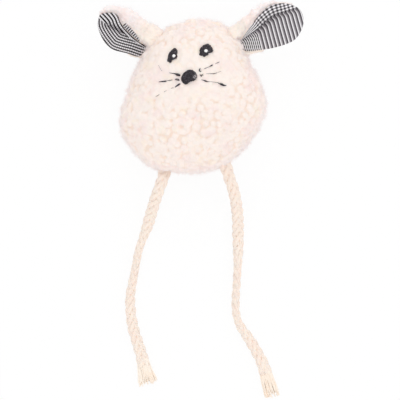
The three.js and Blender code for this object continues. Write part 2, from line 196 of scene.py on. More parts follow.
def tubeParts(paths, radii, sides, ups=None, flat=1.0):
    # closed tubes along many paths of equal length: paths (n, k, 3), radii (n, k)
    paths = np.asarray(paths, float)
    radii = np.asarray(radii, float)
    n, k, _ = paths.shape
    tangent = unit(np.gradient(paths, axis=1))
    if ups is None:
        ups = np.broadcast_to(np.array([0.31, 0.17, 0.93]), paths.shape)
    side = unit(np.cross(tangent, ups))
    top = np.cross(side, tangent)
    angle = np.arange(sides) * 2 * math.pi / sides
    ring = side[:, :, None, :] * np.cos(angle)[:, None] + flat * top[:, :, None, :] * np.sin(angle)[:, None]
    points = paths[:, :, None, :] + ring * radii[:, :, None, None]
    index = np.arange(n * k * sides).reshape(n, k, sides)
    following = np.roll(index, -1, axis=2)
    quads = np.stack([index[:, :-1], index[:, 1:], following[:, 1:], following[:, :-1]], -1).reshape(-1, 4)
    return points.reshape(-1, 3), quads.tolist() + index[:, 0, :].tolist() + index[:, -1, ::-1].tolist()


def joinParts(parts):
    # parts are (points, faces) pairs that become one mesh
    points, faces, start = [], [], 0
    for partPoints, partFaces in parts:
        points.append(partPoints)
        faces += [[i + start for i in face] for face in partFaces]
        start += len(partPoints)
    return np.vstack(points), faces


def scatter(points, spacing, seed):
    # picks points that keep a distance, in random order
    order = randomFrom(seed).permutation(len(points))
    cells, kept = {}, []
    for i in order:
        p = points[i]
        cell = tuple(int(x) for x in np.floor(p / spacing))
        near = (cells.get((cell[0] + a, cell[1] + b, cell[2] + c), ())
                for a in (-1, 0, 1) for b in (-1, 0, 1) for c in (-1, 0, 1))
        if all(((q - p) ** 2).sum() > spacing ** 2 for group in near for q in group):
            cells.setdefault(cell, []).append(p)
            kept.append(i)
    return points[kept]


def nearest(points, centers, count):
    # for each point, the numbers of the centers closest to it
    tree = kdtree.KDTree(len(centers))
    for i, c in enumerate(centers):
        tree.insert(c, i)
    tree.balance()
    return np.array([[hit[1] for hit in tree.find_n(p, count)] for p in points])


# Materials

def newMaterial(name):
    material = bpy.data.materials.new(name)
    material.use_nodes = True
    return material, material.node_tree, material.node_tree.nodes["Principled BSDF"]


def sRgb(r, g, b):
    def one(c):
        c = c / 255
        return c / 12.92 if c <= 0.04045 else ((c + 0.055) / 1.055) ** 2.4
    return (one(r), one(g), one(b), 1)


def setInputs(node, values):
    for socket, value in values.items():
        node.inputs[socket].default_value = value


def feed(tree, sockets, values):
    # each value is another node's output, or a plain number or colour
    for socket, value in zip(sockets, values):
        if isinstance(value, bpy.types.NodeSocket):
            tree.links.new(value, socket)
        else:
            socket.default_value = value


def mathNode(tree, operation, *values, clamp=False):
    node = tree.nodes.new("ShaderNodeMath")
    node.operation = operation
    node.use_clamp = clamp
    feed(tree, node.inputs, values)
    return node.outputs[0]


def mixColors(tree, amount, first, second):
    mix = tree.nodes.new("ShaderNodeMix")
    mix.data_type = "RGBA"
    feed(tree, (mix.inputs[0], mix.inputs[6], mix.inputs[7]), (amount, first, second))
    return mix.outputs[2]


def mapRange(tree, value, low, high, toLow=0.0, toHigh=1.0):
    node = tree.nodes.new("ShaderNodeMapRange")
    node.interpolation_type = "SMOOTHSTEP"
    tree.links.new(value, node.inputs["Value"])
    setInputs(node, {"From Min": low, "From Max": high, "To Min": toLow, "To Max": toHigh})
    return node.outputs["Result"]


def noiseOf(tree, size, detail=2.0, roughness=0.5):
    # size is the width of a patch in millimetres
    node = tree.nodes.new("ShaderNodeTexNoise")
    setInputs(node, {"Scale": 1 / (size * mm), "Detail": detail, "Roughness": roughness})
    tree.links.new(tree.nodes.new("ShaderNodeTexCoord").outputs["Object"], node.inputs["Vector"])
    return node.outputs["Fac"]


def meshValue(tree, name, output="Fac"):
    node = tree.nodes.new("ShaderNodeAttribute")
    node.attribute_name = name
    return node.outputs[output]


def separate(tree, vector):
    node = tree.nodes.new("ShaderNodeSeparateXYZ")
    tree.links.new(vector, node.inputs["Vector"])
    return list(node.outputs)


def addBump(tree, shader, height, strength, distance):
    bump = tree.nodes.new("ShaderNodeBump")
    setInputs(bump, {"Strength": strength, "Distance": distance * mm})
    tree.links.new(height, bump.inputs["Height"])
    tree.links.new(bump.outputs["Normal"], shader.inputs["Normal"])


fleeceColors = {
    # painted shade: the fleece takes the crease colour where its pile is low, between the curls, and the
    # top colour on the curls' tops
    "top": sRgb(255, 241, 234),
    "crease": sRgb(251, 231, 218),
    "pink": sRgb(253, 234, 230),
    "butter": sRgb(255, 239, 221),
    "pale": sRgb(246, 237, 237),        # painted side shading: a greyer, cooler tone where the fleece faces sideways; also the nose's pale speckle
    "root": sRgb(255, 240, 228),        # an ear, towards its root
}

cordColors = {
    "fibre": sRgb(247, 226, 210),
    "seam": sRgb(216, 188, 168),        # painted shade: browner where the cord comes out of the seam's recess
}

checkColors = {
    "light": sRgb(253, 251, 253),
    "grey": sRgb(118, 112, 118),
    "dark": sRgb(9, 6, 9),
    "thread": sRgb(140, 134, 140),
}


def fleeceMaterial(name, top, crease, butterShare=0.5):
    material, tree, shader = newMaterial(name)
    # painted shade: the low pile between the curls takes the darker crease colour
    color = mixColors(tree, mapRange(tree, meshValue(tree, "pileHeight"), 0.0, 0.6), crease, top)
    pink = mapRange(tree, noiseOf(tree, 9), 0.48, 0.68, 0, 0.75)
    butter = mapRange(tree, noiseOf(tree, 6, 3), 0.52, 0.7, 0, butterShare)
    # the pale layer is painted side shading where the fleece faces sideways
    layers = (("pink", pink), ("butter", butter), ("root", meshValue(tree, "creamy")),
              ("pale", meshValue(tree, "sideways")))
    for tint, amount in layers:
        color = mixColors(tree, amount, color, fleeceColors[tint])
    tree.links.new(color, shader.inputs["Base Color"])
    setInputs(shader, {
        "Roughness": 0.95, "Specular IOR Level": 0.15,
        "Sheen Weight": 0.1, "Sheen Roughness": 0.6,
        "Subsurface Weight": 0.3, "Subsurface Radius": (1.0, 0.8, 0.7), "Subsurface Scale": 2.0 * mm})
    addBump(tree, shader, noiseOf(tree, 0.5, 3, 0.7), 0.5, 0.25)
    return material


def cordMaterial(name, pale, warm, fibreShare=0.25, softness=0.15):
    material, tree, shader = newMaterial(name)
    color = mixColors(tree, mapRange(tree, noiseOf(tree, 7), 0.4, 0.7), pale, warm)
    fibre = mapRange(tree, noiseOf(tree, 0.5, 3, 0.7), 0.35, 0.7, 0, fibreShare)
    color = mixColors(tree, fibre, color, cordColors["fibre"])
    # painted shade in the recess where the cord comes out of the seam
    color = mixColors(tree, meshValue(tree, "nearSeam"), color, cordColors["seam"])
    tree.links.new(color, shader.inputs["Base Color"])
    setInputs(shader, {
        "Roughness": 0.9, "Specular IOR Level": 0.2,
        "Subsurface Weight": softness, "Subsurface Radius": (1.0, 0.75, 0.6), "Subsurface Scale": 1.0 * mm})
    addBump(tree, shader, noiseOf(tree, 0.35, 3, 0.7), 0.6, 0.2)
    return material


def checkMaterial():
    # a woven check from the lining's own repeats: light, grey where one set of stripes is dark,
    # and dark where both are
    material, tree, shader = newMaterial("check cotton")
    weave = tree.nodes.new("ShaderNodeUVMap")
    weave.uv_map = "weave"
    stripes = []
    for repeats in separate(tree, weave.outputs["UV"])[:2]:
        wave = mathNode(tree, "SINE", mathNode(tree, "MULTIPLY", repeats, 2 * math.pi))
        stripes.append(mapRange(tree, wave, -0.15, 0.25))
    # the rows' share of the dark, how deep it is, and a shade over all, which also carries painted shade
    # along the ears' crease, in the fold and near the root
    rows, depth, shade = separate(tree, meshValue(tree, "weaveTone", "Vector"))
    woven = tree.nodes.new("ShaderNodeMix")
    feed(tree, (woven.inputs[0], woven.inputs[2], woven.inputs[3]), (rows, stripes[0], stripes[1]))
    ramp = tree.nodes.new("ShaderNodeValToRGB")
    ramp.color_ramp.elements[0].color = checkColors["light"]
    ramp.color_ramp.elements[1].color = checkColors["dark"]
    ramp.color_ramp.elements.new(0.5).color = checkColors["grey"]
    tree.links.new(mathNode(tree, "MULTIPLY_ADD", woven.outputs[0], depth, shade), ramp.inputs["Fac"])
    thread = mapRange(tree, noiseOf(tree, 0.4, 2, 0.6), 0.3, 0.8, 0, 0.1)
    color = mixColors(tree, thread, ramp.outputs["Color"], checkColors["thread"])
    tree.links.new(color, shader.inputs["Base Color"])
    setInputs(shader, {"Roughness": 0.85, "Specular IOR Level": 0.2, "Sheen Weight": 0.08})
    addBump(tree, shader, noiseOf(tree, 0.3, 2, 0.6), 0.4, 0.08)
    return material


def threadMaterial(name, color, paler):
    material, tree, shader = newMaterial(name)
    patch = mapRange(tree, noiseOf(tree, 0.9, 3, 0.6), 0.45, 0.75, 0, 0.7)
    color = mixColors(tree, patch, color, paler)
    # a pale speckle in the fleece's pale colour, round one spot at the nose's right side
    fleck = mapRange(tree, noiseOf(tree, 0.55), 0.44, 0.6)
    speckle = mathNode(tree, "MULTIPLY", meshValue(tree, "paleSpeckle"), fleck)
    color = mixColors(tree, speckle, color, fleeceColors["pale"])
    tree.links.new(color, shader.inputs["Base Color"])
    setInputs(shader, {"Roughness": 0.6, "Specular IOR Level": 0.3, "Sheen Weight": 0.1})
    addBump(tree, shader, noiseOf(tree, 0.25, 2, 0.6), 0.4, 0.08)
    return material


checkCotton = checkMaterial()
blackThread = threadMaterial("black thread", sRgb(42, 36, 42), sRgb(104, 97, 106))
whiteThread = threadMaterial("white thread", sRgb(255, 254, 253), sRgb(244, 240, 240))
bodyFleece = fleeceMaterial("body fleece", fleeceColors["top"], fleeceColors["crease"])
# part of the ear fleece's brightness is painted light, which offsets the shade on the ear's sloping band;
# its cooler tone is its own
earFleece = fleeceMaterial("ear fleece", sRgb(255, 245, 244), sRgb(252, 239, 235), 0.2)
cottonCord = cordMaterial("cotton cord", sRgb(255, 240, 228), sRgb(255, 236, 224))
# loose cotton is paler than the braid's cotton; part of that is painted light, which offsets the tuft's own
# shading
looseCotton = cordMaterial("loose cotton", sRgb(255, 246, 235), sRgb(255, 240, 225), 0.1, 0)
creamThread = threadMaterial("cream thread", sRgb(250, 238, 226), sRgb(238, 222, 206))
fibreFill = threadMaterial("fibre fill", sRgb(248, 247, 245), sRgb(228, 227, 224))
sachetCloth = threadMaterial("sachet cloth", sRgb(232, 226, 210), sRgb(206, 198, 176))


# Legs: two braided cotton cords with frayed ends

leg = {
    "strands": 8,
    "pitch": 21.0,          # one turn of a strand round the cord
    "wide": 2.12,           # the strands' own ring, before their thickness
    "thin": 1.1,
    "weave": 0.34,          # how far a strand goes out and in at a crossing
    "strandRadius": 1.2,
    "strandFlat": 0.78,
    "core": 1.5,
    "stepsPerMm": 1.25,
    "diameter": 6.0,
    "insideReach": 5.0,     # what the seam holds
}

legs = {
    "leg_left": {
        "hinge": (-15.6695, -35.9899, 21.0),
        "route": [
            [-16.6, -39, 21], [-18.1, -43.2, 20.4], [-19.8, -47.8, 17.9], [-21.5, -52.8, 13.6],
            [-23.3, -58.6, 8.6], [-25.4, -65, 4.9], [-27.9, -71.5, 3.3], [-30, -78, 3.1],
            [-31.3, -84.6, 3.1], [-32.5, -91.2, 3.1], [-33.8, -97.8, 3.1], [-34.5, -103, 3.1],
            [-34.4, -108, 3.1], [-33.8, -114.2, 3.1], [-32.6, -120.8, 3.1], [-30.6, -127.4, 3.1],
            [-28.6, -134, 3.1], [-26.9, -140.6, 3.1]],
        "turnShares": [(0, 0), (0.3, 0), (0.4, 80), (0.52, 85), (0.66, 55), (0.8, 35), (0.9, 10), (1, 0)],
        "fringe": 10.0,         # how far the yarns reach past the cut
        "splay": 5.2,           # half the tuft at their ends
        "seed": 11,
        "rootShade": 0.5,
    },
    "leg_right": {
        "hinge": (18.3439, -33.3982, 21.0),
        "route": [
            [19.3, -36.9, 21], [20.9, -41.2, 20.4], [22.3, -46, 18.4], [23.4, -51.2, 14.8],
            [24.2, -57, 10], [24.6, -63.4, 5.8], [24.7, -70, 3.6], [24.7, -77.4, 3.1],
            [24.5, -84.6, 3.1], [24.1, -91.2, 3.1], [23.7, -97.8, 3.1], [23.3, -104.4, 3.1],
            [23.4, -110.4, 3.1], [24.5, -115.6, 3.1], [26.8, -120.2, 3.1], [29.7, -124.3, 3.1],
            [32.3, -128.3, 3.1], [34.6, -132.3, 3.1], [36.8, -136.3, 3.1], [38.6, -140.4, 3.1],
            [39.8, -144.6, 3.1]],
        "turnShares": [(0, 0), (0.3, 10), (0.42, 30), (0.52, 85), (0.72, 95), (0.8, 45), (0.9, 25), (1, 0)],
        "fringe": 13.0,
        "splay": 4.2,
        "seed": 12,
        "rootShade": 0.0,
    },
}

fray = {
    "yarns": 64,
    "steps": 12,
    "yarnRadius": (0.36, 0.5),
    "startWidth": 2.8,      # half the tuft, where it leaves the braid
    "yarnTuck": 4,          # how far a yarn starts inside the braid
    "bundles": 7,           # thicker ones, which fill the gaps between the yarns
    "bundleRadius": 1.15,
    "bundleTuck": 3,
    "clear": 0.05,          # over the floor
}


def legLine(spec):
    # the cord's middle line from inside the seam to its cut end, with its cross directions
    hinge = np.array(spec["hinge"])
    inward = unit(hinge - np.array(spec["route"][1])) * leg["insideReach"]
    route = np.vstack([hinge + inward, hinge, spec["route"]])
    count = int(np.linalg.norm(np.diff(route, axis=0), axis=1).sum() * leg["stepsPerMm"])
    line = smoothCurve(route, count)
    share = np.linspace(0, 1, count)
    turn = evenOut(np.radians(np.interp(share, *zip(*spec["turnShares"]))), 8)
    outer = leg["strandRadius"] * leg["strandFlat"] + leg["weave"] * 0.6
    halfHeight = np.hypot((leg["wide"] + outer) * np.sin(turn), (leg["thin"] + outer) * np.cos(turn))
    onFloor = smoothStep(-line[:, 2], -6, -3.3)
    line[:, 2] += (halfHeight + 0.1 - line[:, 2]) * onFloor
    tangent = unit(np.gradient(line, axis=0))
    side = unit(np.cross(tangent, up))
    top = np.cross(side, tangent)
    wideWay = side * np.cos(turn)[:, None] + top * np.sin(turn)[:, None]
    thinWay = top * np.cos(turn)[:, None] - side * np.sin(turn)[:, None]
    return line, wideWay, thinWay


def seamShade(spec, points):
    # painted shade: how brown the cord is, most on its inner side, and only where it comes out of the
    # seam's recess
    hinge = np.array(spec["hinge"])
    outside = (points - hinge) @ unit(np.array(spec["route"][1]) - hinge)
    inwards = smoothStep((points[:, 0] - hinge[0]) * -np.sign(hinge[0]), -3, 1)
    return spec["rootShade"] * smoothStep(-outside, -1.6, 1.2) * (0.4 + 0.6 * inwards)


def braid(name, spec):
    line, wideWay, thinWay = legLine(spec)
    length = lengthAlong(line)
    random = randomFrom(spec["seed"])
    paths, ups, radii = [], [], []
    # the strands open a little at the root and at the cut end
    loose = 1 + 0.12 * smoothStep(-length, -8, 0) + 0.1 * smoothStep(length, length[-1] - 10, length[-1])
    for strand in range(leg["strands"]):
        way = 1 if strand % 2 else -1
        start = (strand // 2) * 4 * math.pi / leg["strands"]
        angle = way * (2 * math.pi * length / leg["pitch"] + start) + 0.1 * np.sin(length / 9 + strand)
        swing = leg["weave"] * way * np.cos(2 * angle + math.pi / 4)
        ringWide = (leg["wide"] + swing) * loose
        ringThin = (leg["thin"] + swing) * loose
        offset = (wideWay * (np.cos(angle) * ringWide)[:, None]
                  + thinWay * (np.sin(angle) * ringThin)[:, None])
        outward = (wideWay * (np.cos(angle) * leg["thin"])[:, None]
                   + thinWay * (np.sin(angle) * leg["wide"])[:, None])
        paths.append(line + offset)
        ups.append(unit(outward))
        radii.append(leg["strandRadius"] * loose * (1 + 0.06 * np.sin(length * 1.1 + random.uniform(0, 6))))
    paths.append(line)
    ups.append(thinWay)
    radii.append(np.full(len(line), leg["core"]))
    points, faces = tubeParts(paths, radii, 10, np.array(ups), leg["strandFlat"])
    points[:, 2] = np.maximum(points[:, 2], 0.02)
    piece = makeMesh(name + "_braid", points, faces, cottonCord)
    pointValues(piece, "nearSeam", seamShade(spec, points))
    return piece, line, wideWay, thinWay, length


def frayedEnd(name, spec, line, wideWay, thinWay):
    # loose yarns that leave the strands and spread over the floor
    random = randomFrom(spec["seed"] + 50)
    end, along = line[-1], unit(line[-1] - line[-6])
    wide, thin = wideWay[-1], thinWay[-1]
    t = np.linspace(0, 1, fray["steps"])

    def outFrom(reach, tuck):
        return end + along * (t * (reach + tuck) - tuck)[:, None]

    paths, radii = [], []
    for _ in range(fray["yarns"]):
        a = random.uniform(-1, 1)
        b = random.uniform(-1, 1) * math.sqrt(max(0, 1 - a * a))
        reach = spec["fringe"] * random.uniform(0.72, 1.08)
        sway = random.normal(0, 0.5, 2)
        across = a * (fray["startWidth"] + (spec["splay"] - fray["startWidth"]) * t ** 1.3)
        across = across + sway[0] * np.sin(t * 3.5 + random.uniform(0, 6)) * t
        height = b * (1.9 - 0.7 * t) + sway[1] * 0.4 * np.sin(t * 5 + random.uniform(0, 6))
        path = outFrom(reach, fray["yarnTuck"]) + wide * across[:, None] + thin * height[:, None]
        radius = random.uniform(*fray["yarnRadius"])
        path[:, 2] = np.maximum(path[:, 2], radius + fray["clear"])
        paths.append(path)
        radii.append(radius * (1 - 0.35 * t ** 3))
    bundles = []
    size = fray["bundleRadius"] - 0.45 * t ** 2
    for share in np.linspace(-0.8, 0.8, fray["bundles"]):
        across = share * (2.4 + (spec["splay"] - 2.6) * t ** 1.3)
        reach = spec["fringe"] * (0.86 - 0.1 * abs(share))
        path = outFrom(reach, fray["bundleTuck"]) + wide * across[:, None]
        path[:, 2] = np.maximum(np.minimum(path[:, 2], 2.0 - 0.9 * t), size + fray["clear"])
        bundles.append(path)
    parts = [tubeParts(paths, radii, 5), tubeParts(bundles, [size] * len(bundles), 8)]
    return makeMesh(name + "_frayed_end", *joinParts(parts), looseCotton, smooth=False)


def addLegs():
    for name, spec in legs.items():
        cord, line, wideWay, thinWay, length = braid(name, spec)
        fringe = frayedEnd(name, spec, line, wideWay, thinWay)
        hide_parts(name + "_cord", name + "_root")
        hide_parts(name + "_fringe")
        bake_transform(cord)
        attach(fringe, name)
    print("legs are braided")


addLegs()


# Body: a front and a back panel of boucle fleece

body = {
    "halfWidth": 40.0,
    "halfLength": 41.0,
    "frontRise": 26.0,
    "backRise": 21.5,
    "frontRoundness": 2.15,
    "backRoundness": 2.8,
    "headTaperShare": 0.1,
    # the outline every 15 degrees from +X, as shares of the two half sizes
    "outlineShares": [0.985, 0.966, 0.96, 0.995, 1.125, 1.172, 1.158, 1.108, 1.06, 0.956, 0.91, 0.906,
                      0.948, 1.016, 0.99, 0.975, 0.928, 0.876, 0.85, 0.85, 0.86, 0.862, 0.88, 0.925],
    "pile": 1.15,           # how far the curls stand above their ground
    "lumpDepth": 0.35,      # the pile gathers in wider lumps, as in the solids
    "lumpPitch": 8.5,
    "lumpSpread": 0.3,
    "lumpWaves": 9,
    "sink": 1.0,            # how far the ground lies under the finished outline
    "clothThickness": 1.6,
    "gridCells": 256,
    "nubSpacing": 3.0,
    "edgeTufts": 0.3,
    "edgeTuftWidth": 6.0,
    "innerClimbs": (0, 0.5, 1.0, 1.35),     # where the cloth's inner face has its rings
    "innerFloor": 0.9,
    "shornMiddle": (-0.5, 17.5),        # the face, where the curls are shorn to half their height
    "shornReach": (25.0, 15.5),
    "shorn": 0.5,
    "plainMiddle": (-0.5, 19.3),        # the face of the solids, which has no lumps
    "plainReach": (26.0, 18.0),
    # round the eyes and the nose: x, y and reach
    "pressed": [(-10.4, 26.3, 4.0), (7.0, 29.2, 4.0), (-1.9, 15.0, 4.6)],
    "seed": 3,
}


nub = {
    "neighbours": 6,
    "stretch": (0.55, 0.95),        # how oval a curl is
    "radius": (2.1, 3.0),
    "tall": (0.7, 1.0),
    "sharp": 5.0,                   # how sharply two curls meet
    "tallest": 1.15,
}


def outlineShare(turn):
    shares = np.array(body["outlineShares"])
    place = np.mod(turn, 2 * math.pi) / (2 * math.pi) * len(shares)
    i = np.floor(place).astype(int)
    return between(*(shares[(i + k) % len(shares)] for k in (-1, 0, 1, 2)), place - i)


def halfShape(side):
    # side is 1 on the front and -1 on the back
    half = "front" if side > 0 else "back"
    return body[half + "Roundness"], body[half + "Rise"]


def headFullness(y):
    # the front gets flatter towards the crown of the head
    return 1 - body["headTaperShare"] * np.maximum(y, 0) / body["halfLength"]


def bodyPoints(turn, lift, side, inset):
    # lift runs from 0 at the seam to a quarter turn
    roundness, rise = halfShape(side)
    edge = outlineShare(turn)[:, None] * np.column_stack(
        [body["halfWidth"] * np.cos(turn), body["halfLength"] * np.sin(turn)])
    edge *= (1 - inset / np.linalg.norm(edge, axis=1))[:, None]
    flat = edge * (np.cos(lift) ** (2 / roundness))[:, None]
    fullness = headFullness(flat[:, 1]) if side > 0 else 1
    height = side * (rise - inset) * fullness * np.sin(lift) ** (2 / roundness)
    return np.column_stack([flat, seamHeight + height])


def liftFor(reach, side):
    # spreads the grid evenly from the crown, where reach is 0, to the seam, where it is 1
    roundness, rise = halfShape(side)
    lift = np.linspace(0, math.pi / 2, 600)
    run = body["halfWidth"] * np.cos(lift) ** (2 / roundness)
    climb = rise * np.sin(lift) ** (2 / roundness)
    way = np.concatenate([[0], np.cumsum(np.hypot(np.diff(run), np.diff(climb)))])
    return np.interp(1 - reach, way / way[-1], lift)


def faceHeight(x, y):
    # the height of the finished front over a point of the photograph
    x, y = np.asarray(x, float), np.asarray(y, float)
    turn = np.arctan2(y / body["halfLength"], x / body["halfWidth"])
    share = outlineShare(turn)
    edge = np.hypot(share * body["halfWidth"] * np.cos(turn), share * body["halfLength"] * np.sin(turn))
    reach = np.clip(np.hypot(x, y) / edge, 0, 1)
    n = body["frontRoundness"]
    return seamHeight + body["frontRise"] * headFullness(y) * (1 - reach ** n) ** (1 / n)


def nubs(points, centers, seed):
    # rounded curls of boucle: every center carries a small oval dome, and the domes press on each other
    random = randomFrom(seed)
    n = len(centers)
    lean = unit(random.normal(size=(n, 3)))
    stretch = random.uniform(*nub["stretch"], n)
    radius = random.uniform(*nub["radius"], n)
    tall = random.uniform(*nub["tall"], n)
    index = nearest(points, centers, nub["neighbours"])
    away = points[:, None, :] - centers[index]
    straight = (away ** 2).sum(-1)
    along = (away * lean[index]).sum(-1)
    oval = straight - (1 - stretch[index] ** 2) * along ** 2
    dome = 1 - oval / (radius[index] * 0.86) ** 2
    dome = tall[index] * np.sign(dome) * np.abs(dome) ** 0.8
    height = np.log(np.exp(nub["sharp"] * np.clip(dome, -1, 1)).sum(1)) / nub["sharp"]
    return np.clip(height, 0, nub["tallest"])


def facePatch(points):
    # 1 on the face
    away = (points[:, :2] - body["shornMiddle"]) / body["shornReach"]
    return (1 - smoothStep((away ** 2).sum(1), 0.55, 1.5)) * (points[:, 2] > seamHeight + 6)


def pileSink(turn, lift, side):
    # how deep the fleece lies between its lumps, where waves from evenly spread sides meet
    place = bodyPoints(turn, lift, side, 0)
    wave = np.arange(body["lumpWaves"])
    rise = 1 - (2 * wave + 1) / body["lumpWaves"]
    golden = math.pi * (3 - math.sqrt(5)) * wave
    flat = np.sqrt(1 - rise ** 2)
    headings = np.column_stack([flat * np.cos(golden), flat * np.sin(golden), rise])
    swell = np.cos(2 * math.pi * (place @ headings.T) / body["lumpPitch"] + wave ** 2).sum(1)
    hollow = np.clip(0.5 - body["lumpSpread"] * swell, 0, 1)
    climb = lift / (math.pi / 2)
    share = smoothStep(climb, 0, 0.2)
    if side < 0:
        share = share * (1 - smoothStep(climb, 0.6, 0.8))
    else:
        away = (place[:, :2] - body["plainMiddle"]) / body["plainReach"]
        share = share * smoothStep(np.hypot(*away.T), 1, 1.35)
    return body["lumpDepth"] * hollow * share


def fleeceHeights(points, centers, seed):
    face = facePatch(points)
    height = nubs(points, centers, seed) * (1 - body["shorn"] * face) + 0.25 * face
    height = height + curls(points, seed) * (1 - 0.3 * face)
    for x, y, reach in body["pressed"]:
        away = np.hypot(points[:, 0] - x, points[:, 1] - y)
        pressed = (1 - smoothStep(away, reach * 0.8, reach * 1.3)) * (points[:, 2] > seamHeight)
        height *= 1 - 0.7 * pressed
    # tufts stand out round the edge, where they show against the background
    overSeam = points[:, 2] - seamHeight
    nearEdge = 1 - smoothStep(np.abs(overSeam), 5, 15)
    height = height + body["edgeTufts"] * wobble(points, body["edgeTuftWidth"], seed + 3) * nearEdge
    # and the seam draws the fleece in
    return height * (1 - 0.4 * np.exp(-(overSeam / 0.9) ** 2))


def sideShadeShare(normals, start):
    # how much painted side shading the fleece gets: it grows as the fleece turns from facing the lens to
    # facing sideways
    return 0.7 * smoothStep(-np.abs(normals[:, 2]), -start, 0.0)


def bodyPanel(name, side, centers, grid):
    reach, turn, quads, rim = grid
    facing = slice(None, None, side)        # the back's faces wind the other way
    lift = liftFor(reach, side)
    base = bodyPoints(turn, lift, side, body["sink"] * 0.75 + pileSink(turn, lift, side))
    quads = quads[:, facing]
    baseNormals = meshNormals(base, quads)
    normals = baseNormals.copy()
    normals[rim, 2] = 0
    height = fleeceHeights(base, centers, body["seed"])
    outer = base + unit(normals) * (height * body["pile"])[:, None]
    outer[:, 2] = np.maximum(outer[:, 2], 0.04)

    # the inner face of the cloth closes the panel
    def innerFace(at, climb):
        inset = body["sink"] + body["clothThickness"]
        ring = bodyPoints(at, np.full(len(at), climb), side, inset)
        ring[:, 2] = np.maximum(ring[:, 2], body["innerFloor"])
        return ring

    points, faces, last = outer, quads.tolist(), rim
    for climb in body["innerClimbs"]:
        ring = np.arange(len(points), len(points) + len(rim))
        faces += ringQuads(last, ring)[:, facing].tolist()
        points, last = np.vstack([points, innerFace(turn[rim], climb)]), ring
    fan = np.stack([last, np.full(len(rim), len(points)), np.roll(last, -1)], -1)
    faces += fan[:, facing].tolist()
    points = np.vstack([points, innerFace(np.zeros(1), math.pi / 2)])
    piece = makeMesh(name, points, faces, bodyFleece)
    hidden = len(points) - len(outer)
    # the pile height sets the painted crease shade; the shorn face gets less of it
    shade = np.maximum(height, facePatch(base) * 0.45)
    pointValues(piece, "pileHeight", np.concatenate([shade, np.zeros(hidden)]))
    pointValues(piece, "sideways", np.concatenate([sideShadeShare(baseNormals, 0.6), np.ones(hidden)]))
    return piece, outer, quads, height


def addBody():
    grid = discGrid(body["gridCells"])
    reach, turn = grid[:2]
    grounds = [bodyPoints(turn, liftFor(reach, side), side, body["sink"]) for side in (1, -1)]
    centers = scatter(np.vstack(grounds)[::3], body["nubSpacing"], body["seed"])
    made = {}
    for name, side, node in (("front_fleece", 1, "front_panel"), ("back_fleece", -1, "back_panel")):
        piece, outer, faces, height = bodyPanel(name, side, centers, grid)
        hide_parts(node)
        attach(piece, "body")
        made[name] = (outer, faces, height)
    print("body is covered,", len(centers), "curls")
    return made


seams = {
    "hidden": {"turns": (-69, 254.5), "steps": 220, "inset": 2.0, "radius": 0.35, "swing": 0.0},
    # the ladder stitch that closes the gap between the legs
    "closing": {"turns": (254.5, 291), "steps": 97, "inset": 0.75, "radius": 0.22, "swing": 0.75},
}


def seamStitches():
    parts = []
    for spec in seams.values():
        steps = spec["steps"]
        turn = np.radians(np.linspace(*spec["turns"], steps))
        beat = np.sin(np.arange(steps) * math.pi / 6 + 0.3)
        height = seamHeight + spec["swing"] * np.sign(beat) * np.abs(beat) ** 0.4
        path = np.column_stack([bodyPoints(turn, np.zeros(steps), 1, spec["inset"])[:, :2], height])
        parts.append(tubeParts([path], [np.full(steps, spec["radius"])], 6))
    piece = makeMesh("seam_stitches", *joinParts(parts), creamThread)
    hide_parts("seam_thread", "closing_thread")
    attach(piece, "body")


def dressInside():
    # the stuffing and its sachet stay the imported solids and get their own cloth
    for node, material in (("stuffing", fibreFill), ("catnip_sachet", sachetCloth)):
        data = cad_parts[node].data
        data.materials.clear()
        data.materials.append(material)


bodySkins = addBody()
seamStitches()
dressInside()


# Ears: a cupped fleece back and a check cotton lining each

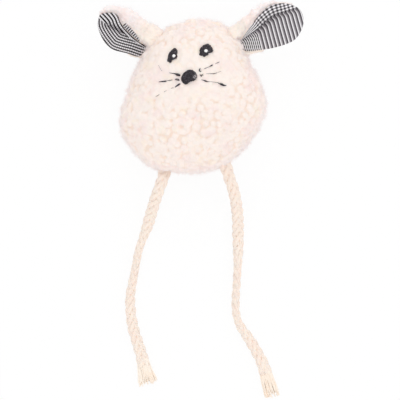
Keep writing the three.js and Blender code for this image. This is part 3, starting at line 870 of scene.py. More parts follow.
ears = {
    "ear_left": {
        "hinge": (-26.9098, 34.6071, 21.0),
        "out": (-0.775934, 0.630814, 0.0),
        "crown": (0.630814, 0.775934, 0.0),
        "length": 30.0,
        "crownRise": 4.0,
        "cheekRise": 6.0,
        "valleyShares": (-0.03, -0.12),
        "middle": (12.0, -1.0),
        # places are (out from the hinge, towards the crown of the head)
        "fleeceOutline": [
            (-6.5, 10.8), (1.0, 11.4), (6, 10.0), (11.5, 9.8), (16.3, 9.4), (21, 7.0), (24.7, 5.4),
            (27.2, 2.4), (28.2, -1.6), (27.3, -5.2), (24.6, -8.2), (21, -10.4), (16.4, -11.9),
            (12, -12.6), (7.6, -11.6), (3, -9.4), (-2, -7.4), (-7.5, -2), (-9, 5)],
        "liningOutline": [
            (-2.5, -0.6), (-0.3, -0.4), (1.8, -0.8), (5.6, -0.8), (9.7, -0.4), (13.5, 0.1), (16.5, 1.1),
            (19.1, 2.6), (21.9, 2.9), (23.9, 1.7), (25.8, 0.1), (27.4, -1.9), (27.5, -3.6),
            (26.2, -6.3), (24.6, -8.2), (21.6, -10.2), (17.2, -12.2), (12.7, -13.0), (9.4, -12.5),
            (5.9, -10.8), (2.6, -9.2), (-1.1, -7.8), (-3.0, -6.3), (-3.4, -3.5)],
        "crease": [
            (-4, -1.0), (-1.2, -1.3), (2.5, -1.7), (7, -2.2), (11.1, -2.3), (14, -2.4), (17, -3.0),
            (20, -3.9), (23.7, -4.5), (27.5, -4.6), (30, -4.5)],
        "brim": [
            (31, 3), (29.6, 0), (28.4, -4.2), (26.9, -6.8), (24.1, -9.3), (19.9, -11.1), (15.1, -12.4),
            (11.2, -12.8), (6.4, -11.1), (1.9, -9.0), (-3, -7.2), (-8, -5)],
        "ridge": [
            (-8, 0.4), (-0.3, -0.4), (5.6, -0.8), (9.7, -0.4), (13.5, 0.1), (16.5, 1.1), (19.1, 2.6),
            (21.9, 3.4), (24.6, 3.8), (28, 4.2)],
        "hemLow": [(14.4, 0.6), (10.2, 0.0), (6.3, -0.3), (2.6, -0.5)],
        "hemHigh": [(13.8, 2.4), (9.9, 2.1), (6.1, 1.5), (2.5, 0.6)],
        "turnFrom": 0.05,
        "bandRise": 2.0,
        "creaseDepth": 1.5,
        "cut": (0.018, 0.032),
        "cutArea": 0.00042,
    },
    "ear_right": {
        "hinge": (27.3464, 36.1338, 21.0),
        "out": (0.836809, 0.547496, 0.0),
        "crown": (-0.547496, 0.836809, 0.0),
        "length": 34.0,
        "crownRise": 7.0,
        "cheekRise": 5.0,
        "valleyShares": (0.05, 0.08),
        "middle": (15.0, -1.5),
        "fleeceOutline": [
            (-7.0, 9.2), (0.5, 9.6), (5, 9.6), (10.6, 10.2), (15, 10.5), (19, 10.1), (23.5, 8.8),
            (28.4, 5.6), (32.0, 2.0), (33.6, -2.0), (33.2, -5.6), (31, -9.4), (27.4, -12.0),
            (22.6, -14.2), (17, -14.0), (10.4, -11.8), (4.6, -9.4), (-1.5, -7.4), (-7.5, -3), (-9, 3)],
        "liningOutline": [
            (-2.6, 1.2), (0, 1.6), (6, 4.1), (13.1, 6.4), (18.3, 7.6), (21.8, 7.8), (26.1, 6.5),
            (30.2, 4.0), (32.9, 0.8), (34.2, -2.6), (34.0, -5.4), (32.4, -8.9), (28.9, -12.2),
            (23.4, -14.7), (17.9, -14.3), (11.0, -12.1), (5.6, -9.5), (-2.3, -5.2), (-3.2, -1.5)],
        "crease": [
            (-4, 0.6), (-1.9, 0.9), (3.9, 1.0), (10.5, 1.2), (16.3, 2.2), (21.5, 2.3), (27.5, 0.6),
            (36, -2)],
        "turnFrom": -0.25,
        "bandRise": 1.7,
        "creaseDepth": 1.8,
        "cut": (0.023, 0.037),
        "cutArea": 0.00066,
    },
}

earCloth = {
    "halfThickness": 1.5,
    "pile": 1.05,
    "nubSpacing": 2.9,
    "gridCells": 130,
    "liningCells": 100,
    "liningLift": 0.35,     # between the fleece and the cotton
    "liningThickness": 0.4,
    "turnUnder": 1.9,       # how far the cotton reaches over the fleece's edge
    "rootClimb": 7.6,       # how far the fleece climbs onto the body at its root
    "hemSteps": 60,
    "hemWays": 9,
}

# the check's repeats in millimetres, each one dark and one light band
checks = {
    "row": 1.46,            # the left ear, across its rows
    "lobeRow": 1.74,        # above its crease
    "step": 1.13,           # along a row
    "rightRow": 1.43,
    "rightStep": 2.08,
    "stripe": 2.15,         # the lower half of the right ear
    "fineStripe": 1.075,
    "fineStep": 1.9,
    "stripeStart": 44.7,    # where the stripes grow wide, on the slanting line across them
    "hemStep": 1.27,
}


def toLine(points, line):
    # for each point: the distance to the line, signed by its side, and how far along the line that is
    a, b = line[:-1], line[1:]
    d = b - a
    size = (d ** 2).sum(1)
    t = np.clip(((points[:, None, :] - a) * d).sum(-1) / size, 0, 1)
    foot = a + t[..., None] * d
    gap = np.linalg.norm(points[:, None, :] - foot, axis=-1)
    k = gap.argmin(1)
    rows = np.arange(len(points))
    along = np.concatenate([[0], np.cumsum(np.sqrt(size))])
    away = points - foot[rows, k]
    sign = np.sign(d[k, 0] * away[:, 1] - d[k, 1] * away[:, 0])
    return gap[rows, k] * sign, along[k] + t[rows, k] * np.sqrt(size[k])


def insideBy(points, outline):
    # the distance to a closed outline, positive inside it
    a, b = outline, np.roll(outline, -1, axis=0)
    x, y = points[:, :1], points[:, 1:]
    crosses = (a[:, 1] > y) != (b[:, 1] > y)
    with np.errstate(divide="ignore", invalid="ignore"):
        at = a[:, 0] + (y - a[:, 1]) / (b[:, 1] - a[:, 1]) * (b[:, 0] - a[:, 0])
    inside = (crosses & (x < at)).sum(1) % 2 == 1
    gap, _ = toLine(points, np.vstack([outline, outline[:1]]))
    return np.where(inside, 1, -1) * np.abs(gap)


def radiusRound(outline, middle):
    # an outline as a radius for each turn round its middle
    away = smoothCurve(outline, 400, closed=True) - np.array(middle)
    turn = np.mod(np.arctan2(away[:, 1], away[:, 0]), 2 * math.pi)
    order = np.argsort(turn)
    size = np.linalg.norm(away, axis=1)[order]
    turn = turn[order]
    turns = np.concatenate([[turn[-1] - 2 * math.pi], turn, [turn[0] + 2 * math.pi]])
    sizes = np.concatenate([[size[-1]], size, [size[0]]])
    return lambda at: np.interp(at, turns, sizes)


def earLift(spec, local):
    # how the cup rises over the seam plane on both sides of its valley
    out, crown = (local / spec["length"]).T
    near, far = spec["valleyShares"]
    away = crown - (near + (far - near) * np.clip(out, 0, 1))
    rise = (spec["crownRise"] * (np.maximum(away, 0) / 0.3) ** 1.4
            + spec["cheekRise"] * (np.maximum(-away, 0) / 0.45) ** 1.5)
    gap, _ = toLine(local, smoothCurve(spec["crease"], 60))
    pocket = spec["creaseDepth"] * np.exp(-(gap / 1.7) ** 2)
    pocket = pocket * smoothStep(out, 0.05, 0.3) * smoothStep(-out, -0.95, -0.7)
    return np.minimum(rise, 9.0) * smoothStep(out, -0.05, 0.5) - pocket


def earPlace(spec, local, height):
    hinge, out, crown = (np.array(spec[k]) for k in ("hinge", "out", "crown"))
    return hinge + local[:, :1] * out + local[:, 1:2] * crown + height[:, None] * up


def towardsUp(points, quads):
    # winds a height field so that it faces up
    n = np.cross(points[quads[:, 1]] - points[quads[:, 0]], points[quads[:, 2]] - points[quads[:, 0]])
    return quads if n[:, 2].sum() > 0 else quads[:, ::-1]


def bandHeight(spec, local):
    # the fleece rolls over the crown edge of the lining and stands above it
    outside = -insideBy(local, smoothCurve(spec["liningOutline"], 120, closed=True))
    gap, _ = toLine(local, smoothCurve(spec["crease"], 60))
    return spec["bandRise"] * smoothStep(outside, 0.1, 3.0) * smoothStep(gap, 0.3, 2.2), outside


def earShell(name, spec):
    reach, turn, quads, rim = discGrid(earCloth["gridCells"])
    radius = radiusRound(spec["fleeceOutline"], spec["middle"])(turn)
    hidden = radiusRound(spec["liningOutline"], spec["middle"])(turn) - earCloth["turnUnder"]
    cheekSide = smoothStep(-np.sin(turn), spec["turnFrom"], spec["turnFrom"] + 0.2) * (np.cos(turn) > -0.75)
    radius = radius + (np.minimum(radius, hidden) - radius) * cheekSide
    local = onDisc(reach, turn, radius, spec["middle"])
    lift = earLift(spec, local)
    swell = np.sqrt(np.maximum(1 - reach ** 5, 0))
    band, outside = bandHeight(spec, local)
    climb = earCloth["rootClimb"] * smoothStep(-local[:, 0], -6.5, 2.5) ** 1.4
    climb = climb * smoothStep(outside, 0.3, 3.0)
    top = earPlace(spec, local, lift + (earCloth["halfThickness"] + band + climb) * swell)
    bottom = earPlace(spec, local, lift - earCloth["halfThickness"] * swell)
    facing = towardsUp(top, quads)
    topNormals = meshNormals(top, facing)
    bottomNormals = meshNormals(bottom, facing[:, ::-1])
    topNormals[rim] = bottomNormals[rim] = unit(topNormals[rim] + bottomNormals[rim])
    onCloth = smoothStep(-outside, -2.4, -0.6)[:, None] * (reach < 0.97)[:, None]
    topNormals = unit(topNormals * (1 - onCloth) + up * onCloth)
    centers = scatter(np.vstack([top, bottom])[::2], earCloth["nubSpacing"], body["seed"] + len(name))
    clear = 1
    if "hemLow" in spec:
        hem = np.array(spec["hemLow"] + spec["hemHigh"][::-1])
        clear = 1 - smoothStep(insideBy(local, hem), -0.9, 0.1)
    made, heights = [], []
    sides = ((top, topNormals, smoothStep(outside, 0.0, 1.4)), (bottom, bottomNormals, 1))
    for points, normals, bare in sides:
        height = (nubs(points, centers, body["seed"] + 7) + curls(points, 4)) * bare * clear
        made.append(points + normals * (height * earCloth["pile"])[:, None])
        heights.append(height)
    inner = np.setdiff1d(np.arange(len(top)), rim)
    made[0][rim] = made[1][rim]
    renumber = np.full(len(top), -1)
    renumber[inner] = len(top) + np.arange(len(inner))
    renumber[rim] = rim
    points = np.vstack([made[0], made[1][inner]])
    faces = np.vstack([facing, renumber[facing[:, ::-1]]])
    height = np.clip(np.concatenate([heights[0], heights[1][inner]]), 0, 1)
    piece = makeMesh(name + "_fleece", points, faces, earFleece)
    pointValues(piece, "pileHeight", height)
    pointValues(piece, "sideways", sideShadeShare(meshNormals(points, faces), 0.45))
    nearRoot = smoothStep(-np.concatenate([local[:, 0], local[inner, 0]]), -12, -1)
    pointValues(piece, "creamy", 0.85 * nearRoot)
    return piece, points, faces, height


def leftWeave(spec, local, lower, gap):
    # the rows follow the brim below the crease, and the ridge above it
    brim, ridge = (smoothCurve(spec[k], 110) for k in ("brim", "ridge"))
    fromBrim, alongBrim = toLine(local, brim)
    fromRidge, alongRidge = toLine(local, ridge)
    u = np.where(lower, alongBrim, alongRidge) / checks["step"]
    v = np.where(lower, (np.abs(fromBrim) + 0.2) / checks["row"],
                 (np.abs(fromRidge) + 0.3) / checks["lobeRow"])
    out = local[:, 0]
    # painted shade: the check is darker and flatter along the crease, and a little darker near the root
    creaseShade = np.exp(-(gap / 1.1) ** 2) * smoothStep(out, 10, 14) * smoothStep(-out, -23, -20)
    nearRoot = smoothStep(-out, -9, -2) * smoothStep(fromBrim - fromBrim.min(), 0, 1) * 0.06
    rows, depth = np.where(lower, 0.77, 0.86), 1.14 - 0.3 * creaseShade
    return np.column_stack([u, v]), np.column_stack([rows, depth, 0.04 + 0.3 * creaseShade + nearRoot])


def rightWeave(spec, local, world, lower, gap, alongCrease):
    # the rows follow the crease above it; below it stripes run straight, fine ones and then wide ones
    rim = np.abs(insideBy(local, smoothCurve(spec["liningOutline"], 160, closed=True)))
    root = smoothStep(-local[:, 0], -13, -8)
    upperV = gap / checks["rightRow"] * (1 - root) + 3.9 * gap / np.maximum(gap + rim, 0.2) * root
    across = world[:, 0] + 0.25 * world[:, 1] - checks["stripeStart"] + 0.85 * np.exp(-(gap / 1.6) ** 2)
    fine = across < 0
    lowerU = -across / np.where(fine, checks["fineStripe"], checks["stripe"])
    lowerV = np.where(fine, world[:, 1] / checks["fineStep"], 2 * lowerU)
    u = np.where(lower, lowerU, alongCrease / checks["rightStep"])
    v = np.where(lower, lowerV, upperV)
    # painted shade: the check is darker and flatter in the fold under the crease
    foldShade = np.exp(-gap / 1.6) * lower
    rows = np.where(lower, np.where(fine, 0.12, 0.38), 0.5 + 0.4 * root)
    depth = np.where(lower, np.where(fine, 1.0, 0.84), 1.12) * (1 - 0.3 * foldShade)
    shade = np.where(lower, np.where(fine, 0.02, 0.03), -0.17) + 0.3 * foldShade
    return np.column_stack([u, v]), np.column_stack([rows, depth, shade])


def checkPlaces(spec, local, world, lower):
    # where points of the lining lie in the woven check, counted in repeats across and along the rows
    gap, alongCrease = toLine(local, smoothCurve(spec["crease"], 80))
    if "brim" in spec:
        return leftWeave(spec, local, lower, gap)
    return rightWeave(spec, local, world, lower, np.abs(gap), alongCrease)


def weaveValues(piece, places, tones):
    layer = piece.data.uv_layers.new(name="weave")
    layer.data.foreach_set("uv", places.astype(np.float32).ravel())
    attribute = piece.data.attributes.new("weaveTone", "FLOAT_VECTOR", "CORNER")
    attribute.data.foreach_set("vector", tones.astype(np.float32).ravel())


def earLining(name, spec):
    reach, turn, quads, rim = discGrid(earCloth["liningCells"])
    middle = np.array(spec["middle"]) + [0, -3.0]
    local = onDisc(reach, turn, radiusRound(spec["liningOutline"], middle)(turn), middle)
    lift = earLift(spec, local) + earCloth["halfThickness"] + earCloth["liningLift"]
    slack = 2 + wobble(np.column_stack([local, local[:, 0] * 0]), 9, 21)
    lift += 0.1 * slack * smoothStep(-reach, -1, -0.8)
    lift -= 0.9 * smoothStep(reach, 0.95, 1.0) * (local[:, 1] < -3)       # the cheek edge turns under
    top = earPlace(spec, local, lift)
    bottom = earPlace(spec, local, lift - earCloth["liningThickness"])
    facing = towardsUp(top, quads)
    strip = ringQuads(rim, rim + len(top))[:, [0, 3, 2, 1]]
    first = top[rim[1]] - top[rim[0]]
    if np.cross(first, -up) @ (top[rim[0]] - top[rim].mean(0)) < 0:
        strip = strip[:, ::-1]
    faces = np.vstack([facing, facing[:, ::-1] + len(top), strip])
    points, flat = np.vstack([top, bottom]), np.vstack([local, local])
    piece = makeMesh(name + "_check_lining", points, faces, checkCotton)
    # the check runs its own way above and below the crease, so each face goes by its middle
    middleGap, _ = toLine(flat[faces].mean(1), smoothCurve(spec["crease"], 80))
    corners = faces.reshape(-1)
    weaveValues(piece, *checkPlaces(spec, flat[corners], points[corners], np.repeat(middleGap < 0, 4)))
    diagonals = (top[quads[:, k + 2]] - top[quads[:, k]] for k in (0, 1))
    area = 0.5 * np.linalg.norm(np.cross(*diagonals), axis=1).sum()
    print(name, "lining measures", round(area), "square mm")
    return piece


def hemStrip(name, spec):
    # the cotton's folded edge shows on the roll, with its check running across
    steps, ways = earCloth["hemSteps"], earCloth["hemWays"]
    low, high = (smoothCurve(spec[k], steps) for k in ("hemLow", "hemHigh"))
    share = np.linspace(0, 1, ways)
    local = (low[:, None, :] * (1 - share[:, None]) + high[:, None, :] * share[:, None]).reshape(-1, 2)
    band, _ = bandHeight(spec, local)
    ends = np.sin(np.linspace(0, math.pi, steps)) ** 0.3
    arch = (ends[:, None] * np.sin(share * math.pi) ** 0.5).ravel()
    lift = earLift(spec, local) + earCloth["halfThickness"] + band + 0.2 + 1.0 * arch
    top = earPlace(spec, local, lift)
    index = np.arange(len(top)).reshape(steps, ways)
    quads = towardsUp(top, gridQuads(index))
    border = np.concatenate([index[:, 0], index[-1, 1:], index[-2::-1, -1], index[0, -2:0:-1]])
    faces = np.vstack([quads, quads[:, ::-1] + len(top), ringQuads(border, border + len(top))])
    piece = makeMesh(name + "_check_hem", np.vstack([top, top - 0.6 * up]), faces, checkCotton)
    along = np.linspace(0, np.linalg.norm(low[-1] - low[0]) / checks["hemStep"], steps)
    place = np.column_stack([np.repeat(along, ways), np.full(len(top), 0.25)])
    weaveValues(piece, np.tile(place, (2, 1))[faces.reshape(-1)], np.tile([0.1, 1.0, 0.0], (faces.size, 1)))
    return piece


def bendAtRoot(piece):
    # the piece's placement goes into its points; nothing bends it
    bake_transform(piece)


def addEars():
    skins = {}
    for name, spec in ears.items():
        shell, points, faces, height = earShell(name, spec)
        lining = earLining(name, spec)
        pieces = [shell, lining]
        if "hemLow" in spec:
            pieces.append(hemStrip(name, spec))
        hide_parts(name + "_back", name + "_root_tab", name + "_edge_thread")
        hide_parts(name + "_lining")
        for piece in pieces:
            bendAtRoot(piece)
        skins[name] = (points, faces, height)
    print("ears are on")
    return skins


earSkins = addEars()


# Face: satin-stitched eyes and nose, running-stitch whiskers, all in black thread on the fleece

# outlines and stitches are in pixels of the photograph, which looks straight down
patches = {
    "eye_left": {
        "outline": [
            (174.4, 48.3), (176.5, 49.2), (177.2, 51.7), (176.7, 54.6), (177.2, 56.4), (176.0, 58.6),
            (173.9, 59.3), (172.0, 59.8), (171.3, 61.8), (169.9, 62.8), (168.9, 61.6), (167.2, 60.9),
            (168.0, 57.9), (168.3, 55.3), (169.6, 52.5), (172.0, 50.0)],
        "threadWay": 20,
        "light": (173.9, 56.1),
        "lightRadius": 0.92,
    },
    "eye_right": {
        "outline": [
            (207.1, 44.0), (209.9, 45.2), (211.3, 47.1), (212.6, 49.7), (212.8, 51.5), (210.9, 52.4),
            (208.8, 52.9), (207.9, 54.9), (206.2, 55.4), (204.6, 56.8), (203.3, 55.9), (202.0, 55.3),
            (199.9, 55.4), (199.3, 53.8), (200.1, 52.2), (199.9, 49.9), (200.9, 47.7), (203.5, 45.4)],
        "threadWay": 55,
        "light": (206.0, 51.1),
        "lightRadius": 1.0,
    },
    "nose": {
        "outline": [
            (189.5, 69.9), (192.8, 70.5), (195.4, 72.6), (197.0, 75.7), (196.4, 78.0), (194.3, 80.3),
            (191.3, 81.3), (188.9, 82.6), (187.2, 84.0), (184.7, 84.1), (182.5, 82.3), (181.4, 79.3),
            (181.7, 76.7), (183.5, 73.6), (186.2, 71.0)],
        "threadWay": 35,
        "speckleAt": (195.2, 76.8),
        "speckleReach": 1.15,
    },
}

# each run of thread as x, y and the thread's radius in millimetres
whiskers = {
    "whisker_left_upper": [
        [(168.8, 72.7, 0.08), (172.0, 73.3, 0.16), (174.9, 73.8, 0.3), (177.2, 74.6, 0.68),
         (179.3, 75.1, 0.6), (180.1, 75.3, 0.25)],
        [(158.4, 65.2, 0.05), (160.2, 68.6, 0.05), (162.4, 71.5, 0.07)]],
    "whisker_left_middle": [
        [(158.7, 81.9, 0.12), (162.2, 81.5, 0.3), (165.5, 81.2, 0.36), (167.3, 80.8, 0.12),
         (169.9, 80.3, 0.2), (172.9, 79.8, 0.1)],
        [(174.6, 79.6, 0.14), (176.2, 79.4, 0.42), (178.1, 79.7, 0.5), (179.5, 80.3, 0.25)]],
    "whisker_left_lower": [
        [(174.6, 87.6, 0.12), (176.6, 86.0, 0.34), (179.0, 84.4, 0.44), (180.4, 83.8, 0.24)],
        [(170.6, 88.4, 0.06), (172.3, 88.0, 0.12), (174.0, 87.6, 0.07)],
        [(163.6, 92.4, 0.05), (165.0, 91.4, 0.08), (167.0, 90.2, 0.05)],
        [(155.4, 96.8, 0.08), (157.6, 95.6, 0.12), (160.0, 93.8, 0.05)]],
    "whisker_right_upper": [
        [(200.4, 67.8, 0.12), (199.6, 69.6, 0.3), (199.4, 71.2, 0.32), (201.4, 71.3, 0.2)],
        [(203.2, 69.3, 0.06), (206.4, 67.9, 0.16), (208.8, 66.9, 0.1), (211.3, 65.5, 0.32),
         (213.4, 64.6, 0.05)],
        [(214.6, 64.1, 0.05), (216.0, 63.4, 0.1), (218.0, 62.6, 0.18), (219.8, 61.7, 0.05)]],
    "whisker_right_middle": [
        [(199.6, 76.0, 0.12), (201.4, 74.9, 0.16), (203.6, 75.4, 0.1)],
        [(199.4, 73.6, 0.08), (200.6, 75.0, 0.13), (202.0, 77.0, 0.08)],
        [(203.4, 73.4, 0.07), (202.0, 75.2, 0.13), (200.4, 77.6, 0.07)],
        [(205.8, 73.7, 0.06), (209.7, 73.7, 0.1), (213.2, 73.7, 0.17), (215.3, 73.4, 0.14),
         (217.8, 72.4, 0.09), (221.2, 71.3, 0.05)]],
    "whisker_right_lower": [
        [(200.8, 79.6, 0.07), (203.4, 80.2, 0.18), (205.7, 81.1, 0.42), (207.9, 81.6, 0.16),
         (210.7, 81.7, 0.07), (214.2, 82.1, 0.1), (217.3, 82.6, 0.12), (219.5, 83.5, 0.34),
         (221.7, 84.4, 0.6), (223.9, 85.4, 0.42), (226.8, 85.2, 0.08)]],
}

satin = {
    "swell": 0.75,          # the padding under the stitches
    "fullness": 2.6,        # how square its shoulders are
    "shoulder": 1.4,        # how far in from the outline they reach
    "depth": 1.3,           # how far they are sewn down into the fleece
    "threadRadius": 0.2,
    "threadGap": 0.34,
    "threadSteps": 9,
    "overshoot": 0.25,      # a thread may end this far past the outline
    "shortest": 0.5,
}


def fromPhoto(pixels):
    # where the camera's ray through a pixel meets the finished front
    pixels = np.asarray(pixels, float)
    half = photo["pixels"] / 2
    z = np.full(len(pixels), seamHeight + body["frontRise"])
    for _ in range(5):
        scale = photo["mmPerPixel"] * (photo["height"] - z) / photo["height"]
        x = (pixels[:, 0] - half) * scale + photo["center"][0]
        y = (half - pixels[:, 1]) * scale + photo["center"][1]
        z = faceHeight(x, y)
    return np.column_stack([x, y, z])


def satinPad(outline, middle):
    # the padding, which the threads cover
    reach, turn, quads, rim = discGrid(26)
    local = onDisc(reach, turn, radiusRound(outline, middle)(turn), middle)
    ground = faceHeight(*local.T)
    swell = satin["swell"] * np.maximum(1 - reach ** satin["fullness"], 0) ** 0.5
    top = np.column_stack([local, ground + swell - 0.25])
    bottom = np.column_stack([local, ground - satin["depth"]])
    facing = towardsUp(top, quads)
    faces = np.vstack([facing, facing[:, ::-1] + len(top), ringQuads(rim, rim + len(top))])
    return np.vstack([top, bottom]), faces.tolist()


def satinPatch(name, spec):
    outline = smoothCurve(fromPhoto(spec["outline"])[:, :2], 90, closed=True)
    middle = outline.mean(0)
    # threads laid side by side from edge to edge
    random = randomFrom(len(name) + 3)
    way = math.radians(spec["threadWay"])
    along, across = np.array([math.cos(way), math.sin(way)]), np.array([-math.sin(way), math.cos(way)])
    spread = (outline - middle) @ across
    scan = np.linspace(-8, 8, 640)
    t = np.linspace(0, 1, satin["threadSteps"])
    paths = []
    for place in np.arange(spread.min() + 0.12, spread.max() - 0.05, satin["threadGap"]):
        line = middle + across * place + along * scan[:, None]
        within = (insideBy(line, outline) > 0).astype(int)
        starts = np.flatnonzero(np.diff(within, prepend=0) == 1)
        ends = np.flatnonzero(np.diff(within, append=0) == -1)
        for a, b in zip(starts, ends):
            low = scan[a] - random.uniform(0, satin["overshoot"])
            high = scan[b] + random.uniform(0, satin["overshoot"])
            if high - low < satin["shortest"]:
                continue
            beside = across * (place + random.normal(0, 0.04))
            flat = middle + beside + along * (low + (high - low) * t)[:, None]
            depth = np.minimum(insideBy(flat, outline), satin["shoulder"]) / satin["shoulder"]
            bulge = 1 - (1 - np.maximum(depth, 0)) ** satin["fullness"]
            rise = satin["swell"] * np.sqrt(np.clip(bulge, 0, 1)) - 0.16
            rise[[0, -1]] = -0.55
            paths.append(np.column_stack([flat, faceHeight(*flat.T) + rise + random.normal(0, 0.03)]))
    threads = tubeParts(paths, np.full((len(paths), len(t)), satin["threadRadius"]), 6, flat=0.8)
    piece = makeMesh(name + "_satin", *joinParts([satinPad(outline, middle), threads]), blackThread)
    if "speckleAt" in spec:
        places = np.array([v.co[:2] for v in piece.data.vertices]) / mm
        away = np.linalg.norm(places - fromPhoto([spec["speckleAt"]])[0, :2], axis=1)
        pointValues(piece, "paleSpeckle", 0.6 * np.exp(-(away / spec["speckleReach"]) ** 4))
    return piece


def lightKnot(name, spec):
    # a white knot that makes the eye's light spot
    place = fromPhoto([spec["light"]])[0]
    size = spec["lightRadius"]
    turn = np.linspace(0, 5 * math.pi, 44)
    out = size * 0.68 * (1 - 0.72 * turn / turn[-1])
    height = satin["swell"] + 0.02 + 0.32 * turn / turn[-1]
    path = place + np.column_stack([out * np.cos(turn), out * np.sin(turn), height])
    base = place + np.column_stack([np.zeros(5), np.zeros(5), np.linspace(-0.3, satin["swell"] + 0.3, 5)])
    coil = tubeParts([path], [np.full(len(path), size * 0.34)], 8)
    plug = tubeParts([base], [np.full(5, size * 0.62)], 12, ups=np.broadcast_to([1.0, 0, 0], (1, 5, 3)))
    return makeMesh(name + "_light_knot", *joinParts([coil, plug]), whiteThread)


def runningStitch(name, runs, skin):
    parts = []
    for run in runs:
        run = np.array(run)
        places = fromPhoto(run[:, :2])
        length = np.linalg.norm(np.diff(places, axis=0), axis=1).sum()
        line = smoothCurve(np.column_stack([places, run[:, 2]]), max(8, int(length * 3)))
        flat = np.column_stack([line[:, :2], np.zeros(len(line))])
        height = evenOut(skin[nearest(flat, skin * [1, 1, 0], 3), 2].mean(1), 3)
        radius = np.maximum(line[:, 3], 0.05)
        height[[0, -1]] -= 0.5
        path = np.column_stack([line[:, :2], height + 0.08 + radius * 0.45])
        parts.append(tubeParts([path], [radius], 7))
    return makeMesh(name + "_stitch", *joinParts(parts), blackThread)


def addFace():
    for name, spec in patches.items():
        made = [(satinPatch(name, spec), name)]
        if "light" in spec:
            made.append((lightKnot(name, spec), name + "_highlight"))
        for part, node in made:
            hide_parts(node)
            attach(part, "body")
    skin = bodySkins["front_fleece"][0]
    skin = skin[(np.abs(skin[:, 0]) < 32) & (skin[:, 1] > -4)]
    for name, runs in whiskers.items():
        piece = runningStitch(name, runs, skin)
        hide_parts(name)
        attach(piece, "body")
    print("face is stitched")


addFace()


# Loose wool: fine curled fibres that stand out of the fleece and soften its edge

wool = {
    "radius": 0.06,
    "length": (1.2, 3.0),
    "curl": (0.25, 0.7),
    "twist": (2.5, 6.5),    # radians along a fibre
    "steps": 5,
    "front": 3600,          # how many fibres
    "back": 2400,
    "ear": 1000,
}


def looseWool(name, skin, count, material, seed):
    points, faces, height = skin
    random = randomFrom(seed)
    normals = meshNormals(points, faces)[:len(height)]
    towardsEdge = 0.15 + 0.85 * (1 - normals[:, 2] ** 2)
    likely = np.clip(height, 0, 1) ** 1.5 * towardsEdge * (points[:len(height), 2] > 0.6) + 1e-6
    pick = random.choice(len(height), count, p=likely / likely.sum())
    n = normals[pick]
    first = unit(np.cross(n, random.normal(size=(count, 3))))
    second = np.cross(n, first)
    t = np.linspace(0, 1, wool["steps"])
    length = random.uniform(*wool["length"], count)[:, None, None]
    curl = random.uniform(*wool["curl"], count)[:, None, None]
    twist = (random.uniform(*wool["twist"], count) * random.choice([-1, 1], count))[:, None]
    angle = (twist * t)[:, :, None]
    lean = random.normal(0, 0.5, (count, 2))
    paths = (points[pick] - n * 0.12)[:, None, :] + n[:, None, :] * (length * 0.62 * t[:, None])
    paths = paths + first[:, None, :] * (curl * np.sin(angle) + (lean[:, :1] * t)[:, :, None])
    paths = paths + second[:, None, :] * (curl * (1 - np.cos(angle)) + (lean[:, 1:] * t)[:, :, None])
    paths[..., 2] = np.maximum(paths[..., 2], 0.1)
    radii = wool["radius"] * random.uniform(0.7, 1.2, count)[:, None] * (1 - 0.55 * t)
    ups = n[:, None, :] + 0.35 * first[:, None, :] + paths * 0
    piece = makeMesh(name, *tubeParts(paths, radii, 3, ups=ups), material, smooth=False)
    # the fibres take the tops' colour and a share of the painted side shading
    pointValues(piece, "pileHeight", np.full(len(piece.data.vertices), 1.0))
    pointValues(piece, "sideways", np.full(len(piece.data.vertices), 0.7))
    return piece


def addWool():
    for name, panel, count, seed in (("front_wool", "front_fleece", wool["front"], 31),
                                     ("back_wool", "back_fleece", wool["back"], 32)):
        piece = looseWool(name, bodySkins[panel], count, bodyFleece, seed)
        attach(piece, "body")
    for name, spec in ears.items():
        piece = looseWool(name + "_wool", earSkins[name], wool["ear"], earFleece, 33)
        bendAtRoot(piece)
    print("loose wool is out")


addWool()


# Floor, light and view

stage = {
    "walls": 1.15,
    "roof": 1.097,
    "sideDim": 0.44,        # the tent is darker to the left and right
    "sideShift": 0.035,     # and most so to the left
    "floor": (0.98, 0.98, 0.98, 1),
    "floorSize": 3000.0,
    "glowShare": 0.9,       # the rest of the floor's look is lit, and keeps the shadow
    # place, size and energy
    "lamps": {"key": ((0.9, -0.5, 0.8), 0.8, 0.5), "fill": ((-0.1, 0.8, 1.0), 0.9, 0.65)},
    "lampsAim": (0, -0.03, 0.02),
}


def seenRays(tree):
    # 1 where the camera looks, straight or through gloss or glass
    rays = tree.nodes.new("ShaderNodeLightPath")
    total = rays.outputs["Is Camera Ray"]
    for kind in ("Is Glossy Ray", "Is Transmission Ray"):
        total = mathNode(tree, "ADD", total, rays.outputs[kind], clamp=True)
    return total


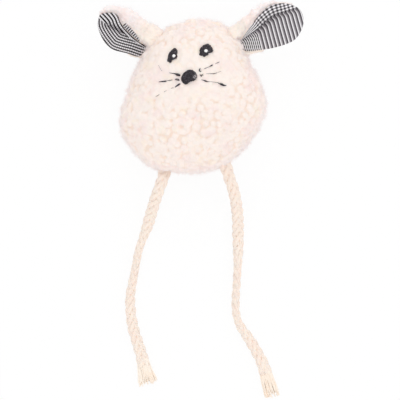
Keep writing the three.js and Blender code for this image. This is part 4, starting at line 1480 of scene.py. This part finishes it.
def addStage():
    material, tree, shader = newMaterial("floor")
    setInputs(shader, {"Base Color": stage["floor"], "Roughness": 0.9})
    glow = tree.nodes.new("ShaderNodeEmission")
    glow.inputs["Strength"].default_value = 1.0
    both = tree.nodes.new("ShaderNodeMixShader")
    share = mathNode(tree, "MULTIPLY", seenRays(tree), stage["glowShare"])
    feed(tree, both.inputs, (share, shader.outputs[0], glow.outputs[0]))
    tree.links.new(both.outputs[0], tree.nodes["Material Output"].inputs["Surface"])
    size = stage["floorSize"]
    corners = [[-size, -size, 0], [size, -size, 0], [size, size, 0], [-size, size, 0]]
    floor = makeMesh("floor", corners, [[0, 1, 2, 3]], material, smooth=False)


def addLight():
    world = bpy.data.worlds.new("studio")
    bpy.context.scene.world = world
    world.use_nodes = True
    tree = world.node_tree
    sky = tree.nodes["Background"]
    sky.inputs["Color"].default_value = (1, 1, 1, 1)
    # a light tent, brighter round the sides than overhead; the camera sees plain white behind the object
    x, _, z = separate(tree, tree.nodes.new("ShaderNodeTexCoord").outputs["Generated"])
    tent = mapRange(tree, z, 0.0, 0.7, stage["walls"], stage["roof"])
    shifted = mathNode(tree, "SUBTRACT", x, stage["sideShift"])
    sideways = mathNode(tree, "MULTIPLY", shifted, shifted)
    dimmed = mathNode(tree, "MULTIPLY_ADD", sideways, -stage["sideDim"], tent)
    seen = tree.nodes.new("ShaderNodeMapRange")
    feed(tree, (seen.inputs["Value"], seen.inputs["To Min"]), (seenRays(tree), dimmed))
    tree.links.new(seen.outputs[0], sky.inputs["Strength"])
    for name, (place, size, energy) in stage["lamps"].items():
        lampData = bpy.data.lights.new(name, "AREA")
        lampData.size = size
        lampData.energy = energy
        lamp = bpy.data.objects.new(name, lampData)
        lamp.location = place
        aim = Vector(stage["lampsAim"]) - Vector(place)
        lamp.rotation_euler = aim.to_track_quat("-Z", "Y").to_euler()
        bpy.context.scene.collection.objects.link(lamp)
    bpy.context.scene.view_settings.view_transform = "Standard"


addStage()
addLight()
print("stage and light are set")
